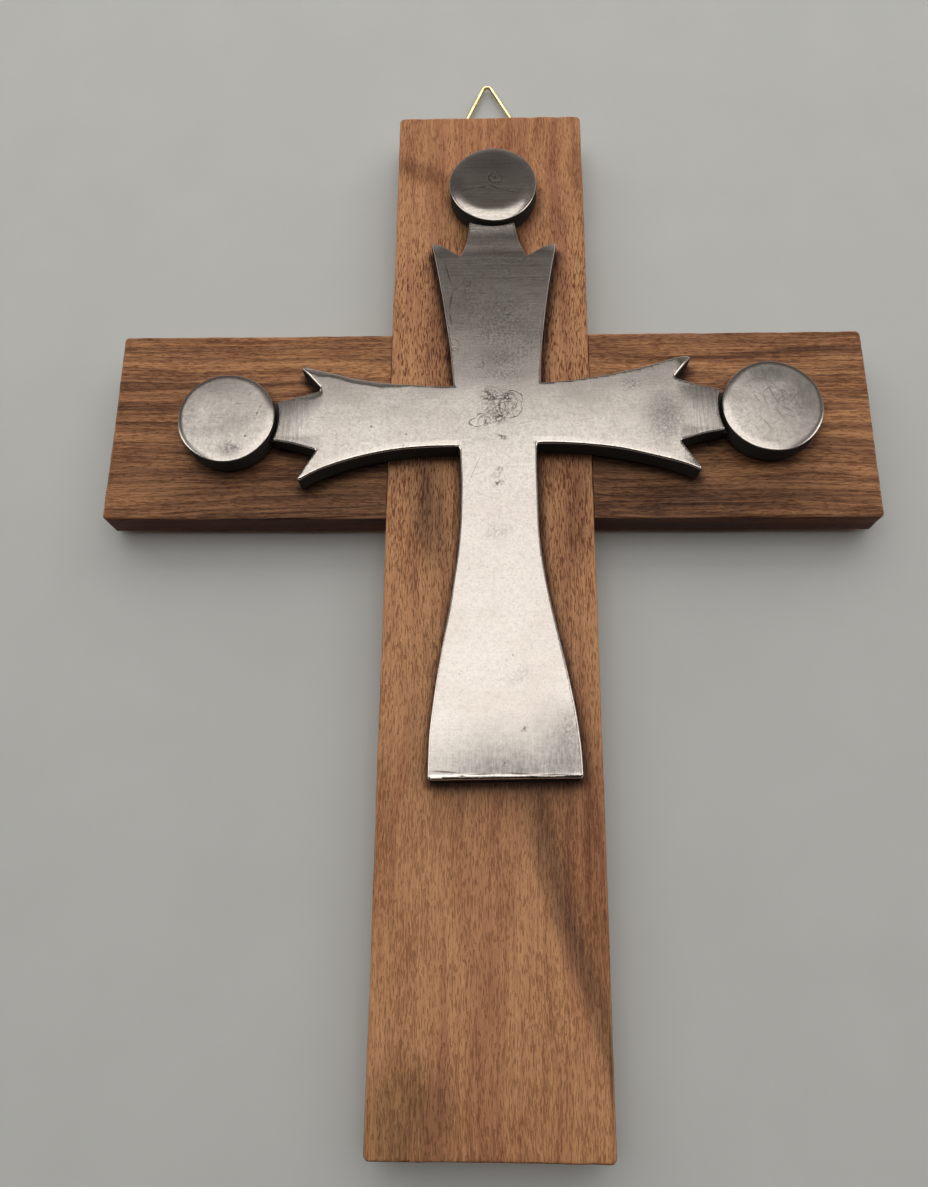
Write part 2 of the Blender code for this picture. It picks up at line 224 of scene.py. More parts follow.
# %% [markdown]
# Stains, scratches and scribbles sit at certain places. They could be painted as an image, but a
# list of marks is easier to read and to change. A mark is its middle across and up, its half width
# and half height, and its turn in degrees, all seen from the front. A stain is a soft spot, a
# scratch is a long thin spot, and a scribble is a thin loop.

# %% Helper: marks on a surface
# A mark reaches through the whole thickness. The tie from one mark to the next moves nothing.
THROUGH = 1e4
HARDLY = (1e-6,) * 3


def after(finish, total, vector):
    """Ties a place to what was laid on before, too weakly to move it, so that marks are done in turn."""
    return finish.pushed(vector, total, HARDLY) if isinstance(total, bpy.types.NodeSocket) else vector


def distance_from(finish, vector, x, z, width, height, turn):
    """How far a point is from the middle of a mark: 1 at its edge. Depth doesn't count."""
    local = finish.mapped(vector, (width, THROUGH, height), (0, -turn, 0), (x, 0, z), "TEXTURE")
    return finish.node("VectorMath", {0: local}, operation="LENGTH").outputs["Value"]


def soft_spot(finish, vector, mark, full=0.0):
    """A soft spot: 1 in the middle, 0 outside."""
    return finish.ramp(distance_from(finish, vector, *mark), full, 1.0, 1.0, 0.0)


def thin_loop(finish, vector, mark, thick):
    """A thin closed loop round the edge of a mark."""
    off = finish.sum("ABSOLUTE", finish.sum("SUBTRACT", distance_from(finish, vector, *mark), 1.0))
    return finish.ramp(off, 0.0, thick / min(mark[2:4]), 1.0, 0.0)


print("mark helpers ready")

# %% [markdown]
# The cross hangs on a plain painted wall. The wall is a stage, not part of the object. It has an
# opening behind the boards, a little smaller than they are, so that nobody sees it from the front,
# while the back of the object still gets light. From behind, the wall is see-through.

# %% Wall
WALL_PLANE = 2.6 * MM
WALL_HALF = 1.6
OPENING = {0: (-109.0, -26.5, 26.5, 109.0), 2: (-190.0, -27.0, 27.0, 109.0)}


def cut_across(shape, geometry, axis, place):
    """Cuts geometry by a plane across an axis and returns its pieces."""
    point, across = Vector(), Vector()
    point[axis], across[axis] = place, 1.0
    return bmesh.ops.bisect_plane(shape, geom=geometry, dist=1e-7, plane_co=point, plane_no=across)["geom"]


def behind_boards(face):
    """Whether a piece of the wall lies behind the boards."""
    x, _, z = face.calc_center_median() / MM
    (left, near_left, near_right, right), (low, near_low, near_high, high) = OPENING[0], OPENING[2]
    return near_left < x < near_right and low < z < high or left < x < right and near_low < z < near_high


wall_shape = bmesh.new()
stand = Matrix.Translation((0, WALL_PLANE, 0)) @ Matrix.Rotation(QUARTER, 4, "X")
bmesh.ops.create_grid(wall_shape, x_segments=1, y_segments=1, size=WALL_HALF, matrix=stand)
for axis, places in OPENING.items():
    for place in places:
        everything = wall_shape.verts[:] + wall_shape.edges[:] + wall_shape.faces[:]
        cut_across(wall_shape, everything, axis, place * MM)
hidden = [f for f in wall_shape.faces if behind_boards(f)]
bmesh.ops.delete(wall_shape, geom=hidden, context="FACES")
wall_mesh = bpy.data.meshes.new("wall")
wall_shape.to_mesh(wall_mesh)
wall_shape.free()
wall = add_object("wall", wall_mesh)

paint = Finish("wall paint")
mottle = paint.noise(paint.place, 0.035, 3.0, 0.6)
tone = paint.blend(mottle, (0.41, 0.415, 0.40), (0.45, 0.455, 0.44))
paint.finish(tone, 0.7, paint.bump(paint.noise(paint.place, 0.8, 3.0), 0.02))
see_through = paint.node("BsdfTransparent", {}).outputs[0]
behind = paint.node("NewGeometry", {}).outputs["Backfacing"]
mixed = paint.node("MixShader", {0: behind, 1: paint.shader.outputs[0], 2: see_through})
paint.wire(paint.tree.nodes["Material Output"].inputs["Surface"], mixed.outputs[0])
wall_mesh.materials.append(paint.material)
print("wall faces", len(wall_mesh.polygons))

# %% [markdown]
# The light is one big soft box in front, a little above the cross. Bare metal shows what it
# mirrors: the flat of the stem mirrors the box and shines, the top arm mirrors the dark above it.
# Two wider lights only reach what is matt, so wood and wall are lit without a second highlight on
# the metal. A weak one behind the wall's opening shows the back in other views. The low lights
# draw the pale lines along the rims of the metal, and the hanger light brings out the brass wire.

# %% Lights
LIGHT_COLOUR = (1.0, 0.985, 0.96)


def soft_box(name, place, size, power, aim=(0, 0, 0), for_metal=True):
    """An area light at a place, turned to a point."""
    data = bpy.data.lights.new(name, "AREA")
    data.shape = "RECTANGLE"
    data.size, data.size_y = size
    data.energy = power
    data.color = LIGHT_COLOUR
    light = add_object(name, data)
    light.location = place
    light.rotation_euler = (Vector(aim) - Vector(place)).to_track_quat("-Z", "Y").to_euler()
    light.visible_camera = False
    light.visible_glossy = for_metal
    return light


soft_box("front box", (-0.06, -1.2, 0.136), (1.16, 1.07), 3.93, aim=(-0.06, 0.0, 0.136))
soft_box("ceiling", (0.0, -0.8, 1.5), (5.0, 1.6), 47.3, for_metal=False)
soft_box("wide fill", (0.0, -1.5, 0.5), (5.0, 1.6), 21.3, aim=(0.0, 0.0, 0.5), for_metal=False)
soft_box("back light", (0.0, 0.9, 0.2), (0.7, 0.7), 9.0, aim=(0.0, 0.0, -0.03))
low_lights = [
    soft_box("low light left", (-1.13, -0.65, 0.0), (0.9, 0.8), 3.8),
    soft_box("low light right", (1.13, -0.65, 0.0), (0.9, 0.8), 3.8),
    soft_box("low light front", (0.0, -1.1, -0.27), (1.3, 0.24), 1.25),
]
hanger_light = soft_box("hanger light", (0.0, -0.85, 0.95), (2.6, 1.0), 16.0, aim=(0.0, 0.0, 0.12))

# %% [markdown]
# Metal also mirrors the room. A photograph of a room could be wrapped round the scene, but a few
# shades of grey do, because the metal is rubbed: dark below, lighter overhead, and a little
# lighter at both sides. The camera sees one plain shade where it looks past the wall.

# %% Room
ROOM = ((0.0, 0.010), (0.35, 0.020), (0.60, 0.060), (0.77, 0.082), (0.85, 0.077), (0.93, 0.14), (1.0, 0.26))
ROOM_COLOUR = (1.0, 0.93, 0.90, 1.0)
TO_THE_RIGHT = 0.12
SIDES = {"From Min": 0.50, "From Max": 0.85, "To Max": 0.12}
BEYOND_THE_WALL = 0.62
world = bpy.data.worlds.new("room")
bpy.context.scene.world = world
room = Nodes(world)
direction = room.node("TexCoord", {}).outputs["Generated"]
height = room.node("MapRange", {"Value": room.part(direction, "Z"), "From Min": -1.0}).outputs[0]
shades = room.tint(height, *((place, (level,) * 3) for place, level in ROOM))
sideways = room.sum("ABSOLUTE", room.sum("ADD", room.part(direction, "X"), TO_THE_RIGHT))
from_sides = room.node("MapRange", {"Value": sideways, **SIDES}).outputs[0]
seen = room.node("LightPath", {}).outputs["Is Camera Ray"]
strength = room.node("Mix", {0: seen, 2: room.sum("ADD", shades, from_sides), 3: BEYOND_THE_WALL})
background = room.tree.nodes["Background"]
room.wire(background.inputs["Strength"], strength.outputs[0])
room.wire(background.inputs["Color"], ROOM_COLOUR)
bpy.context.scene.view_settings.view_transform = "Standard"
print("room shades", len(ROOM))

# %% [markdown]
# Helpers for every mesh. The first cuts faces into small ones with planes, halving the set each
# time so that it stays quick. The last wraps a finished bmesh in an object, gives it a finish,
# hides the CAD nodes that it stands for, and lets it ride on its CAD body.

# %% Helpers: cutting faces small, and finishing a piece
SHARP = math.radians(50)


def cut_small(shape, faces, axis, places):
    """Cuts faces by planes across an axis and returns them all."""
    if not places or not faces:
        return faces
    middle = len(places) // 2
    edges = dict.fromkeys(e for f in faces for e in f.edges)
    verts = dict.fromkeys(v for f in faces for v in f.verts)
    made = cut_across(shape, [*verts, *edges, *faces], axis, places[middle])
    pieces = [g for g in made if isinstance(g, bmesh.types.BMFace)]
    low = [f for f in pieces if f.calc_center_median()[axis] < places[middle]]
    high = [f for f in pieces if f.calc_center_median()[axis] >= places[middle]]
    return cut_small(shape, low, axis, places[:middle]) + cut_small(shape, high, axis, places[middle + 1:])


def steps(low, high, step):
    """Evenly spaced places between two ends, without the ends."""
    count = max(1, round((high - low) / step))
    return [low + (high - low) * i / count for i in range(1, count)]


def extrude(shape, faces, by):
    """Extrudes faces and returns the new ones, moved."""
    made = bmesh.ops.extrude_face_region(shape, geom=faces)["geom"]
    bmesh.ops.translate(shape, verts=[g for g in made if isinstance(g, bmesh.types.BMVert)], vec=by)
    return [g for g in made if isinstance(g, bmesh.types.BMFace)]


def add_piece(name, shape, finish, slot, body, *nodes):
    """Makes the finished piece from a bmesh."""
    bmesh.ops.recalc_face_normals(shape, faces=shape.faces)
    mesh = bpy.data.meshes.new(name)
    shape.to_mesh(mesh)
    shape.free()
    mesh.shade_smooth()
    mesh.set_sharp_from_angle(angle=SHARP)
    mesh.materials.append(finish)
    piece = add_object(name, mesh)
    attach(piece, body)
    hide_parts(*nodes)
    print(name, sum(len(p.vertices) - 2 for p in mesh.polygons), "triangles")


print("mesh helpers ready")

# %% [markdown]
# Walnut is brown because of three things: broad bands that follow the year rings, short dark dashes
# where a plane has cut open the pores, and a fine fibre between them. All three are noise stretched
# along the grain. The upright is cut from a calm pale board, the beam from a streaky one. The oil
# has darkened some places more than others, and those are laid on as soft spots. Undersides get
# painted shade, and the dust with painted shadow along the metal and the rubbed edges come last.

# %% Walnut
def walnut(name, grain_turn, stops, band_scale, pores, streaks, shades):
    """Oiled walnut. stops are its colours along the bands, pores and streaks how dark those are."""
    wood = Finish(name)
    grain = wood.mapped(wood.place, turn=grain_turn)
    wander = wood.noise(wood.mapped(grain, (0.03, 0.03, 0.012)), output=1)
    bent = wood.pushed(grain, wander, (7.0, 7.0, 0.0))
    band = wood.stretched(bent, band_scale, 4.0, 0.66)
    fibre = wood.stretched(bent, (1.5, 1.5, 0.022), 4.0, 0.62)
    cloud = wood.stretched(grain, (0.11, 0.11, 0.045), 3.0, 0.6)
    dash = wood.stretched(bent, (3.7, 3.7, 0.40), 1.0, 0.5)
    fine = wood.stretched(bent, (5.5, 5.5, 0.40), 1.0, 0.5)
    many = wood.ramp(cloud, 0.3, 0.7, 0.595, 0.500)
    pore = wood.ramp(wood.sum("SUBTRACT", dash, many), 0.0, 0.07)

    colour = wood.tint(band, *stops)
    colour = wood.darken(wood.ramp(fibre, 0.34, 0.62, streaks, 0.0), colour, (0.50, 0.41, 0.36))
    colour = wood.darken(wood.ramp(cloud, 0.45, 0.75, 0.0, 0.35), colour, (0.80, 0.70, 0.62))
    colour = wood.darken(wood.ramp(fine, 0.50, 0.68, 0.0, 0.42), colour, (0.52, 0.40, 0.34))
    warped = wood.wandered(wander, 9.0)
    soaked = wood.ramp(fibre, 0.2, 0.75, 1.0, 0.6)
    for *mark, depth, shade in shades:
        colour = wood.darken(wood.times(soft_spot(wood, warped, mark, 0.2), soaked, depth), colour, shade)
    height = wood.part(wood.place, "Z")
    low_down, high_up = wood.ramp(height, -120.0, 10.0, 0.8, 1.7), wood.ramp(height, 45.0, 85.0, 1.0, 0.5)
    colour = wood.darken(wood.times(pore, low_down, high_up, pores), colour, (0.34, 0.19, 0.13))
    # Painted shade: the undersides face away from the light and are darkened.
    colour = wood.darken(wood.ramp(wood.normal("Z"), -0.85, -0.35, 0.9, 0.0), colour, (0.47, 0.20, 0.11))
    # Dust along the metal and painted shadow there darken the wood.
    dust_and_shadow = wood.times(wood.stored("dust_and_shadow"), wood.ramp(fine, 0.3, 0.7, 0.85, 1.0))
    colour = wood.darken(dust_and_shadow, colour, (0.12, 0.08, 0.07))
    rubbed = wood.times(wood.stored("edge"), wood.ramp(fibre, 0.3, 0.6))
    colour = wood.blend(wood.ramp(rubbed, 0.25, 0.9, 0.0, 0.5), colour, (0.50, 0.27, 0.15))

    wood.shader.inputs["Specular IOR Level"].default_value = 0.22
    rough = wood.ramp(fibre, 0.2, 0.8, 0.46, 0.62)
    return wood.finish(colour, rough, wood.bump(wood.layered((pore, -0.09), (fibre, 0.05), (fine, -0.02))))

print("walnut recipe ready")

# %% [markdown]
# The two boards share the recipe and differ in their numbers: the colours along the bands, how wide
# the bands are, and the dark places. A dark place is a mark with its depth and its shade. The long
# ones at the foot of the upright make the diagonal band that the photograph shows.

# %% Walnut of the two boards
UPRIGHT_STOPS = (
    (0.28, (0.335, 0.143, 0.073)), (0.42, (0.425, 0.203, 0.097)), (0.52, (0.495, 0.254, 0.120)),
    (0.62, (0.395, 0.178, 0.089)), (0.78, (0.274, 0.112, 0.061)),
)
BEAM_STOPS = (
    (0.30, (0.51, 0.262, 0.116)), (0.43, (0.39, 0.188, 0.084)), (0.49, (0.21, 0.094, 0.045)),
    (0.55, (0.39, 0.184, 0.081)), (0.62, (0.13, 0.057, 0.029)), (0.73, (0.28, 0.127, 0.059)),
)
UPRIGHT_SHADES = [
    (0, 100, 48, 44, 0, 0.9, (0.88, 0.79, 0.75)),
    (-22, 91, 15, 6, -28, 0.85, (0.42, 0.36, 0.34)),
    (28.5, 92, 3.5, 15, 6, 0.7, (0.5, 0.42, 0.38)),
    (15.4, -126, 7.2, 36, 16, 0.95, (0.44, 0.43, 0.45)),
    (25.4, -160, 5.6, 38, 19.5, 0.95, (0.44, 0.43, 0.45)),
    (30.6, -181, 3.2, 20, 8, 0.8, (0.45, 0.45, 0.47)),
    (28.5, -132, 15, 62, 13, 0.95, (0.54, 0.44, 0.42)),
    (-20.5, -186, 17, 20, 10, 0.9, (0.44, 0.46, 0.41)),
    (-17, -28, 8, 24, 8, 1, (0.36, 0.35, 0.35)),
    (25, -34, 6, 26, -6, 0.7, (0.52, 0.46, 0.44)),
    (-27, -120, 7, 36, 0, 0.6, (0.7, 0.6, 0.56)),
    (-9.5, 66, 3, 9, -10, 0.8, (0.62, 0.72, 0.4)),
]
BEAM_SHADES = [
    (0, -38, 180, 50, 0, 0.9, (0.4, 0.39, 0.41)),
    (60, -24, 50, 9, 2, 0.6, (0.5, 0.44, 0.42)),
    (-70, -20, 34, 7, -2, 0.6, (0.5, 0.44, 0.42)),
    (70, 22, 40, 1.6, 1, 0.8, (0.42, 0.36, 0.34)),
]
UPRIGHT_BANDS, BEAM_BANDS = (0.10, 0.10, 0.006), (0.15, 0.15, 0.0040)
walnut_upright = walnut("walnut upright", (0, 0, 0), UPRIGHT_STOPS, UPRIGHT_BANDS, 0.55, 0.34, UPRIGHT_SHADES)
walnut_beam = walnut("walnut beam", (0, 90, 0), BEAM_STOPS, BEAM_BANDS, 0.33, 0.55, BEAM_SHADES)
print("walnut finishes ready")

# %% [markdown]
# Each board is a half lap: it is notched to half its thickness where it crosses the other. The
# section with its notch is drawn as one face and extruded to the board's width. The corners are
# rounded first, then every outer edge is eased with a smaller bevel, as with a plane and sandpaper.

# %% Boards
UPRIGHT_FRONT, UPRIGHT_BACK = -11.4, -0.9
BEAM_FRONT, BEAM_BACK = -10.5, 0.0
LAP = -5.7
HALF_UPRIGHT, HALF_BEAM = 30.0, 30.5
UPRIGHT_ENDS = (-193.8, 112.7)
BEAM_ENDS = (-113.2, 112.3)
JOINT_GAP = 0.05
CORNER, EASING = 1.5, 0.7


def lapped_section(whole, notched, ends, lap, half_mouth):
    """A board's section as (y, along): whole on one side, notched on the other."""
    mouth = half_mouth + JOINT_GAP
    return [(whole, ends[0]), (whole, ends[1]), (notched, ends[1]), (notched, mouth),
            (lap, mouth), (lap, -mouth), (notched, -mouth), (notched, ends[0])]


def round_over(shape, edges, size, segments):
    """Rounds edges over."""
    bmesh.ops.bevel(shape, geom=edges, offset=size * MM, segments=segments, profile=0.5,
                    affect="EDGES", material=-1)


def board(section, along, width_axis, half_width, half_mouth):
    """A board from its section, extruded across its width. The edges of the joint stay sharp."""
    shape = bmesh.new()
    corners = []
    for y, length in section:
        corner = Vector((0.0, y, 0.0))
        corner[along], corner[width_axis] = length, -half_width
        corners.append(shape.verts.new(corner * MM))
    across = Vector()
    across[width_axis] = 2 * half_width * MM
    extrude(shape, [shape.faces.new(corners)], across)
    bmesh.ops.recalc_face_normals(shape, faces=shape.faces)
    mouth = (half_mouth + 1) * MM
    ends = [e for e in shape.edges if all(abs(v.co[along]) > mouth for v in e.verts)
            and abs(e.verts[0].co.y - e.verts[1].co.y) > 5 * MM]
    round_over(shape, ends, CORNER, 5)
    outer = [e for e in shape.edges if any(abs(v.co[along]) > mouth for v in e.verts)
             and e.calc_face_angle() > math.radians(40)]
    round_over(shape, outer, EASING, 4)
    return shape


upright_section = lapped_section(UPRIGHT_FRONT, UPRIGHT_BACK, UPRIGHT_ENDS, LAP - JOINT_GAP, HALF_BEAM)
beam_section = lapped_section(BEAM_BACK, BEAM_FRONT, BEAM_ENDS, LAP + JOINT_GAP, HALF_UPRIGHT)
upright_shape = board(upright_section, 2, 0, HALF_UPRIGHT, HALF_BEAM)
beam_shape = board(beam_section, 0, 2, HALF_BEAM, HALF_UPRIGHT)
print("faces of the raw boards", len(upright_shape.faces), len(beam_shape.faces))

# %% [markdown]
# No edge of a board that has hung for years is quite straight. The faces are cut into small ones, so
# that each point can be pulled in a little by noise, most of all at the edges. A displacement
# modifier could do that too, but this way the mesh also keeps how rubbed each point is, and the
# walnut finish reads it.

# %% Worn boards
CELL = 1.15 * MM
WORN_WIDTH, RUBBED_WIDTH, SURFACE = 2.5, 1.2, 0.9


def wear(shape, middle, half, seed):
    """Pulls the faces and above all the edges in a little, unevenly, as years of handling do."""
    rubbed = shape.verts.layers.float.new("edge")
    for vert in shape.verts:
        place = vert.co / MM
        depth = [half[i] - abs(place[i] - middle[i]) for i in range(3)]
        from_edge = sorted(depth)[1]
        at_edge = max(0.0, 1.0 - from_edge / WORN_WIDTH)
        broad = noise.noise(place / 23.0 + Vector((seed, 0, 0)))
        fine = noise.noise(place / 4.0 + Vector((0, seed, 0)))
        pull = 0.05 + 0.05 * broad + at_edge * max(0.0, 0.10 + 0.16 * broad + 0.14 * fine)
        vert[rubbed] = max(0.0, 1.0 - from_edge / RUBBED_WIDTH)
        for i in range(3):
            if depth[i] < SURFACE:
                vert.co[i] -= math.copysign(pull * MM, place[i] - middle[i])


def dress_board(name, shape, low, high, seed, finish, slot, node):
    """Cuts a board's faces small, wears it and adds it."""
    faces = shape.faces[:]
    for axis in range(3):
        faces = cut_small(shape, faces, axis, steps(low[axis] * MM, high[axis] * MM, CELL))
    middle = [(a + b) / 2 for a, b in zip(low, high)]
    half = [(b - a) / 2 for a, b in zip(low, high)]
    wear(shape, middle, half, seed)
    add_piece(name, shape, finish, slot, "cross", node)


dress_board("upright_wood", upright_shape,
            (-HALF_UPRIGHT, UPRIGHT_FRONT, UPRIGHT_ENDS[0]), (HALF_UPRIGHT, UPRIGHT_BACK, UPRIGHT_ENDS[1]),
            3.1, walnut_upright, "walnut upright", "upright_board")
dress_board("beam_wood", beam_shape,
            (BEAM_ENDS[0], BEAM_FRONT, -HALF_BEAM), (BEAM_ENDS[1], BEAM_BACK, HALF_BEAM),
            8.7, walnut_beam, "walnut beam", "cross_beam")

# %% [markdown]
# The metal cross was cast, and its face was then filed and rubbed by hand. Bare metal is all
# mirror, so its look comes from how rough it is from place to place: rubbed smooth here, duller
# where the skin of the casting is left. Its marks are of four kinds: patches are stains broken into
# spots, veils are thin grey films, and at the foot of the stem also a painted dark reflection, lines
# are scratches, and loops are scribbles. The strongest mark wins at each point, and that is simpler
# than mixing them.

# %% Marks on the metal
LOOP_LINE = 0.21


def stains(metal, marks):
    """How strong soft marks are at each point. The last number of a mark is its strength."""
    total = 0.0
    for *mark, strength in marks:
        spot = soft_spot(metal, after(metal, total, metal.place), mark)
        total = metal.sum("MAXIMUM", total, metal.times(spot, strength))
    return total


def scratches(metal, lines, loops, fading):
    """How deep the scratches are: lines are thin spots, loops are thin rings."""
    total = stains(metal, lines)
    wandering = metal.wandered(metal.noise(metal.place, 0.25, output=1), 2.6)
    for *mark, strength in loops:
        loop = thin_loop(metal, after(metal, total, wandering), mark, LOOP_LINE)
        total = metal.sum("MAXIMUM", total, metal.times(loop, strength, fading))
    return total


print("metal marks ready")

# %% [markdown]
# The coats of the metal go on from the broad to the small: clouds and blotches of dull metal, grit,
# file lines on the necks, then the marks. The walls and the grooves were never rubbed and lie in
# shade, so black is laid over everything that faces sideways or lies deep: the skin of the casting
# and painted shade, which also stands in for what the walls would mirror. The rim stays bright.

# %% Cast metal
SKIN_AND_SHADE_TOP, SKIN_AND_SHADE_FULL = -15.65, -14.85


def cast_metal(name, brush_turn, patches, veils_and_reflections, lines, loops):
    """Rubbed cast metal, brushed one way, with its own stains and scratches."""
    metal = Finish(name)
    cloud = metal.noise(metal.place, 0.05, 4.0, 0.6)
    blotch = metal.noise(metal.place, 0.60, 4.0, 0.64)
    speckle = metal.noise(metal.place, 1.3, 4.0, 0.7)
    grit = metal.noise(metal.place, 3.4, 2.0, 0.6)
    brush = metal.stretched(metal.mapped(metal.place, turn=(0, brush_turn, 0)), (0.16, 1.0, 4.2), 3.0, 0.7)
    upright = metal.stretched(metal.place, (2.4, 1.0, 0.26), 4.0, 0.7)
    side_lines = metal.stretched(metal.place, (2.6, 1.0, 0.10), 3.0, 0.65)
    top_lines = metal.stretched(metal.place, (0.06, 1.0, 2.8), 3.0, 0.6)
    neck = metal.sum("ABSOLUTE", metal.stored("neck"))
    on_top = metal.sum("LESS_THAN", metal.stored("neck"), 0.0)
    file_lines = metal.sum("MULTIPLY_ADD", on_top, metal.sum("SUBTRACT", top_lines, side_lines), side_lines)
    filed = metal.times(neck, file_lines)
    height = metal.part(metal.place, "Z")
    ragged = metal.layered((speckle, 0.12), base=metal.sum("SUBTRACT", metal.normal("Y"), 0.06))
    deep = metal.layered((blotch, 0.5), base=metal.part(metal.place, "Y"))
    # The black of the walls and grooves is partly the casting's skin and partly painted shade.
    skin_and_shade = metal.sum("MAXIMUM", metal.ramp(ragged, -0.55, -0.25), metal.ramp(deep, SKIN_AND_SHADE_TOP, SKIN_AND_SHADE_FULL))

    colour = metal.blend(metal.ramp(cloud, 0.35, 0.65), (0.90, 0.832, 0.762), (0.83, 0.753, 0.684))
    colour = metal.blend(metal.ramp(blotch, 0.45, 0.72, 0.0, 0.42), colour, (0.66, 0.605, 0.55))
    colour = metal.blend(metal.ramp(speckle, 0.48, 0.74, 0.0, 0.42), colour, (0.55, 0.49, 0.44))
    colour = metal.blend(metal.ramp(grit, 0.52, 0.72, 0.0, 0.34), colour, (0.45, 0.40, 0.36))
    colour = metal.blend(metal.ramp(filed, 0.42, 0.62, 0.0, 0.55), colour, (0.42, 0.38, 0.37))
    spots = metal.ramp(metal.noise(metal.place, 1.25, 4.0, 0.7), 0.42, 0.60)
    dull = metal.times(stains(metal, patches), spots)
    colour = metal.blend(dull, colour, (0.15, 0.135, 0.125))
    # The veils fade at the base strip, so the painted dark reflection leaves its bright line.
    above_base = metal.ramp(height, -104.5, -103.9, 0.45, 1.0)
    inner = metal.ramp(metal.layered((speckle, 0.5), base=metal.stored("rim")), 0.45, 0.95, 1.0, 0.1)
    broken = metal.times(metal.ramp(upright, 0.3, 0.7, 0.7, 1.0), metal.ramp(blotch, 0.35, 0.6, 0.8, 1.0))
    # Veils: grey films, and at the foot of the stem a painted dark reflection.
    veil_and_reflection = metal.times(stains(metal, veils_and_reflections), above_base, inner, broken)
    colour = metal.blend(veil_and_reflection, colour, (0.16, 0.15, 0.145))
    lined = metal.times(metal.ramp(top_lines, 0.42, 0.68), metal.ramp(height, 4.0, 50.0, 0.08, 0.38))
    colour = metal.darken(lined, colour, (0.58, 0.53, 0.49))
    cut = scratches(metal, lines, loops, metal.ramp(blotch, 0.38, 0.58, 0.2, 0.9))
    colour = metal.blend(cut, colour, (0.11, 0.09, 0.075))
    colour = metal.blend(metal.times(skin_and_shade, 0.97), colour, (0.014, 0.011, 0.009))

    uneven = ((metal.ramp(blotch, 0.3, 0.7), 0.05), (metal.ramp(speckle, 0.3, 0.7), 0.05))
    rough = metal.layered(*uneven, (dull, 0.03), (cut, 0.05), (skin_and_shade, 0.3), (neck, 0.08), base=0.16)
    relief = metal.layered((cloud, 0.018), (blotch, 0.006), (speckle, 0.0020), (grit, 0.0006),
                           (brush, 0.0040), (upright, 0.0020), (cut, -0.014), (filed, 0.022))
    metal.shader.inputs["Specular IOR Level"].default_value = 0.0
    return metal.finish(colour, rough, metal.bump(relief), metal.layered((skin_and_shade, -0.97), base=1.0))

print("metal recipe ready")

# %% [markdown]
# Here are the marks of the casting's body, read from the photograph: the blackened tangle over the
# crossing with its scribbled loops, the spots down the stem, the dark veils at its foot, which are
# patina under a painted dark reflection, with the scratched line along its lower edge, and the small
# nicks on the arms.

# %% Marks of the cast body
BODY_PATCHES = [
    (4.6, 17, 13, 7.5, 12, 0.6), (-2, 15, 4, 3, 20, 0.6), (3, 12, 12, 5, 0, 0.4),
    (0.2, 4.5, 4, 4, -20, 1.5), (4.8, 4.2, 3.6, 3.4, 0, 1.3), (2.3, -1.8, 3.2, 4.2, 30, 1.4),
    (3, 1.5, 8.5, 8, 0, 0.75), (4, 29, 14, 19, 0, 0.5), (10, 20, 6, 12, -30, 0.5), (-6, 38, 9, 16, 10, 0.4),
    (3, 52, 16, 20, 0, 0.3), (3.6, -8.6, 2.3, 1.1, -20, 1.5), (2.5, -23, 2.4, 1.3, 10, 1.3),
    (2.8, -18.8, 1.6, 1.3, 0, 1.1), (2.3, -20.5, 3, 4.5, 0, 0.35), (2.3, -37.6, 6, 3.5, 0, 0.4),
    (8, -78.5, 6, 3, 30, 0.3), (9, -92.5, 1.6, 1.2, 30, 1), (20.5, -93, 4, 9, 0, 0.5),
    (41, 8.5, 5, 3, -15, 0.6), (51, -3, 7.5, 12, 0, 0.5),
]
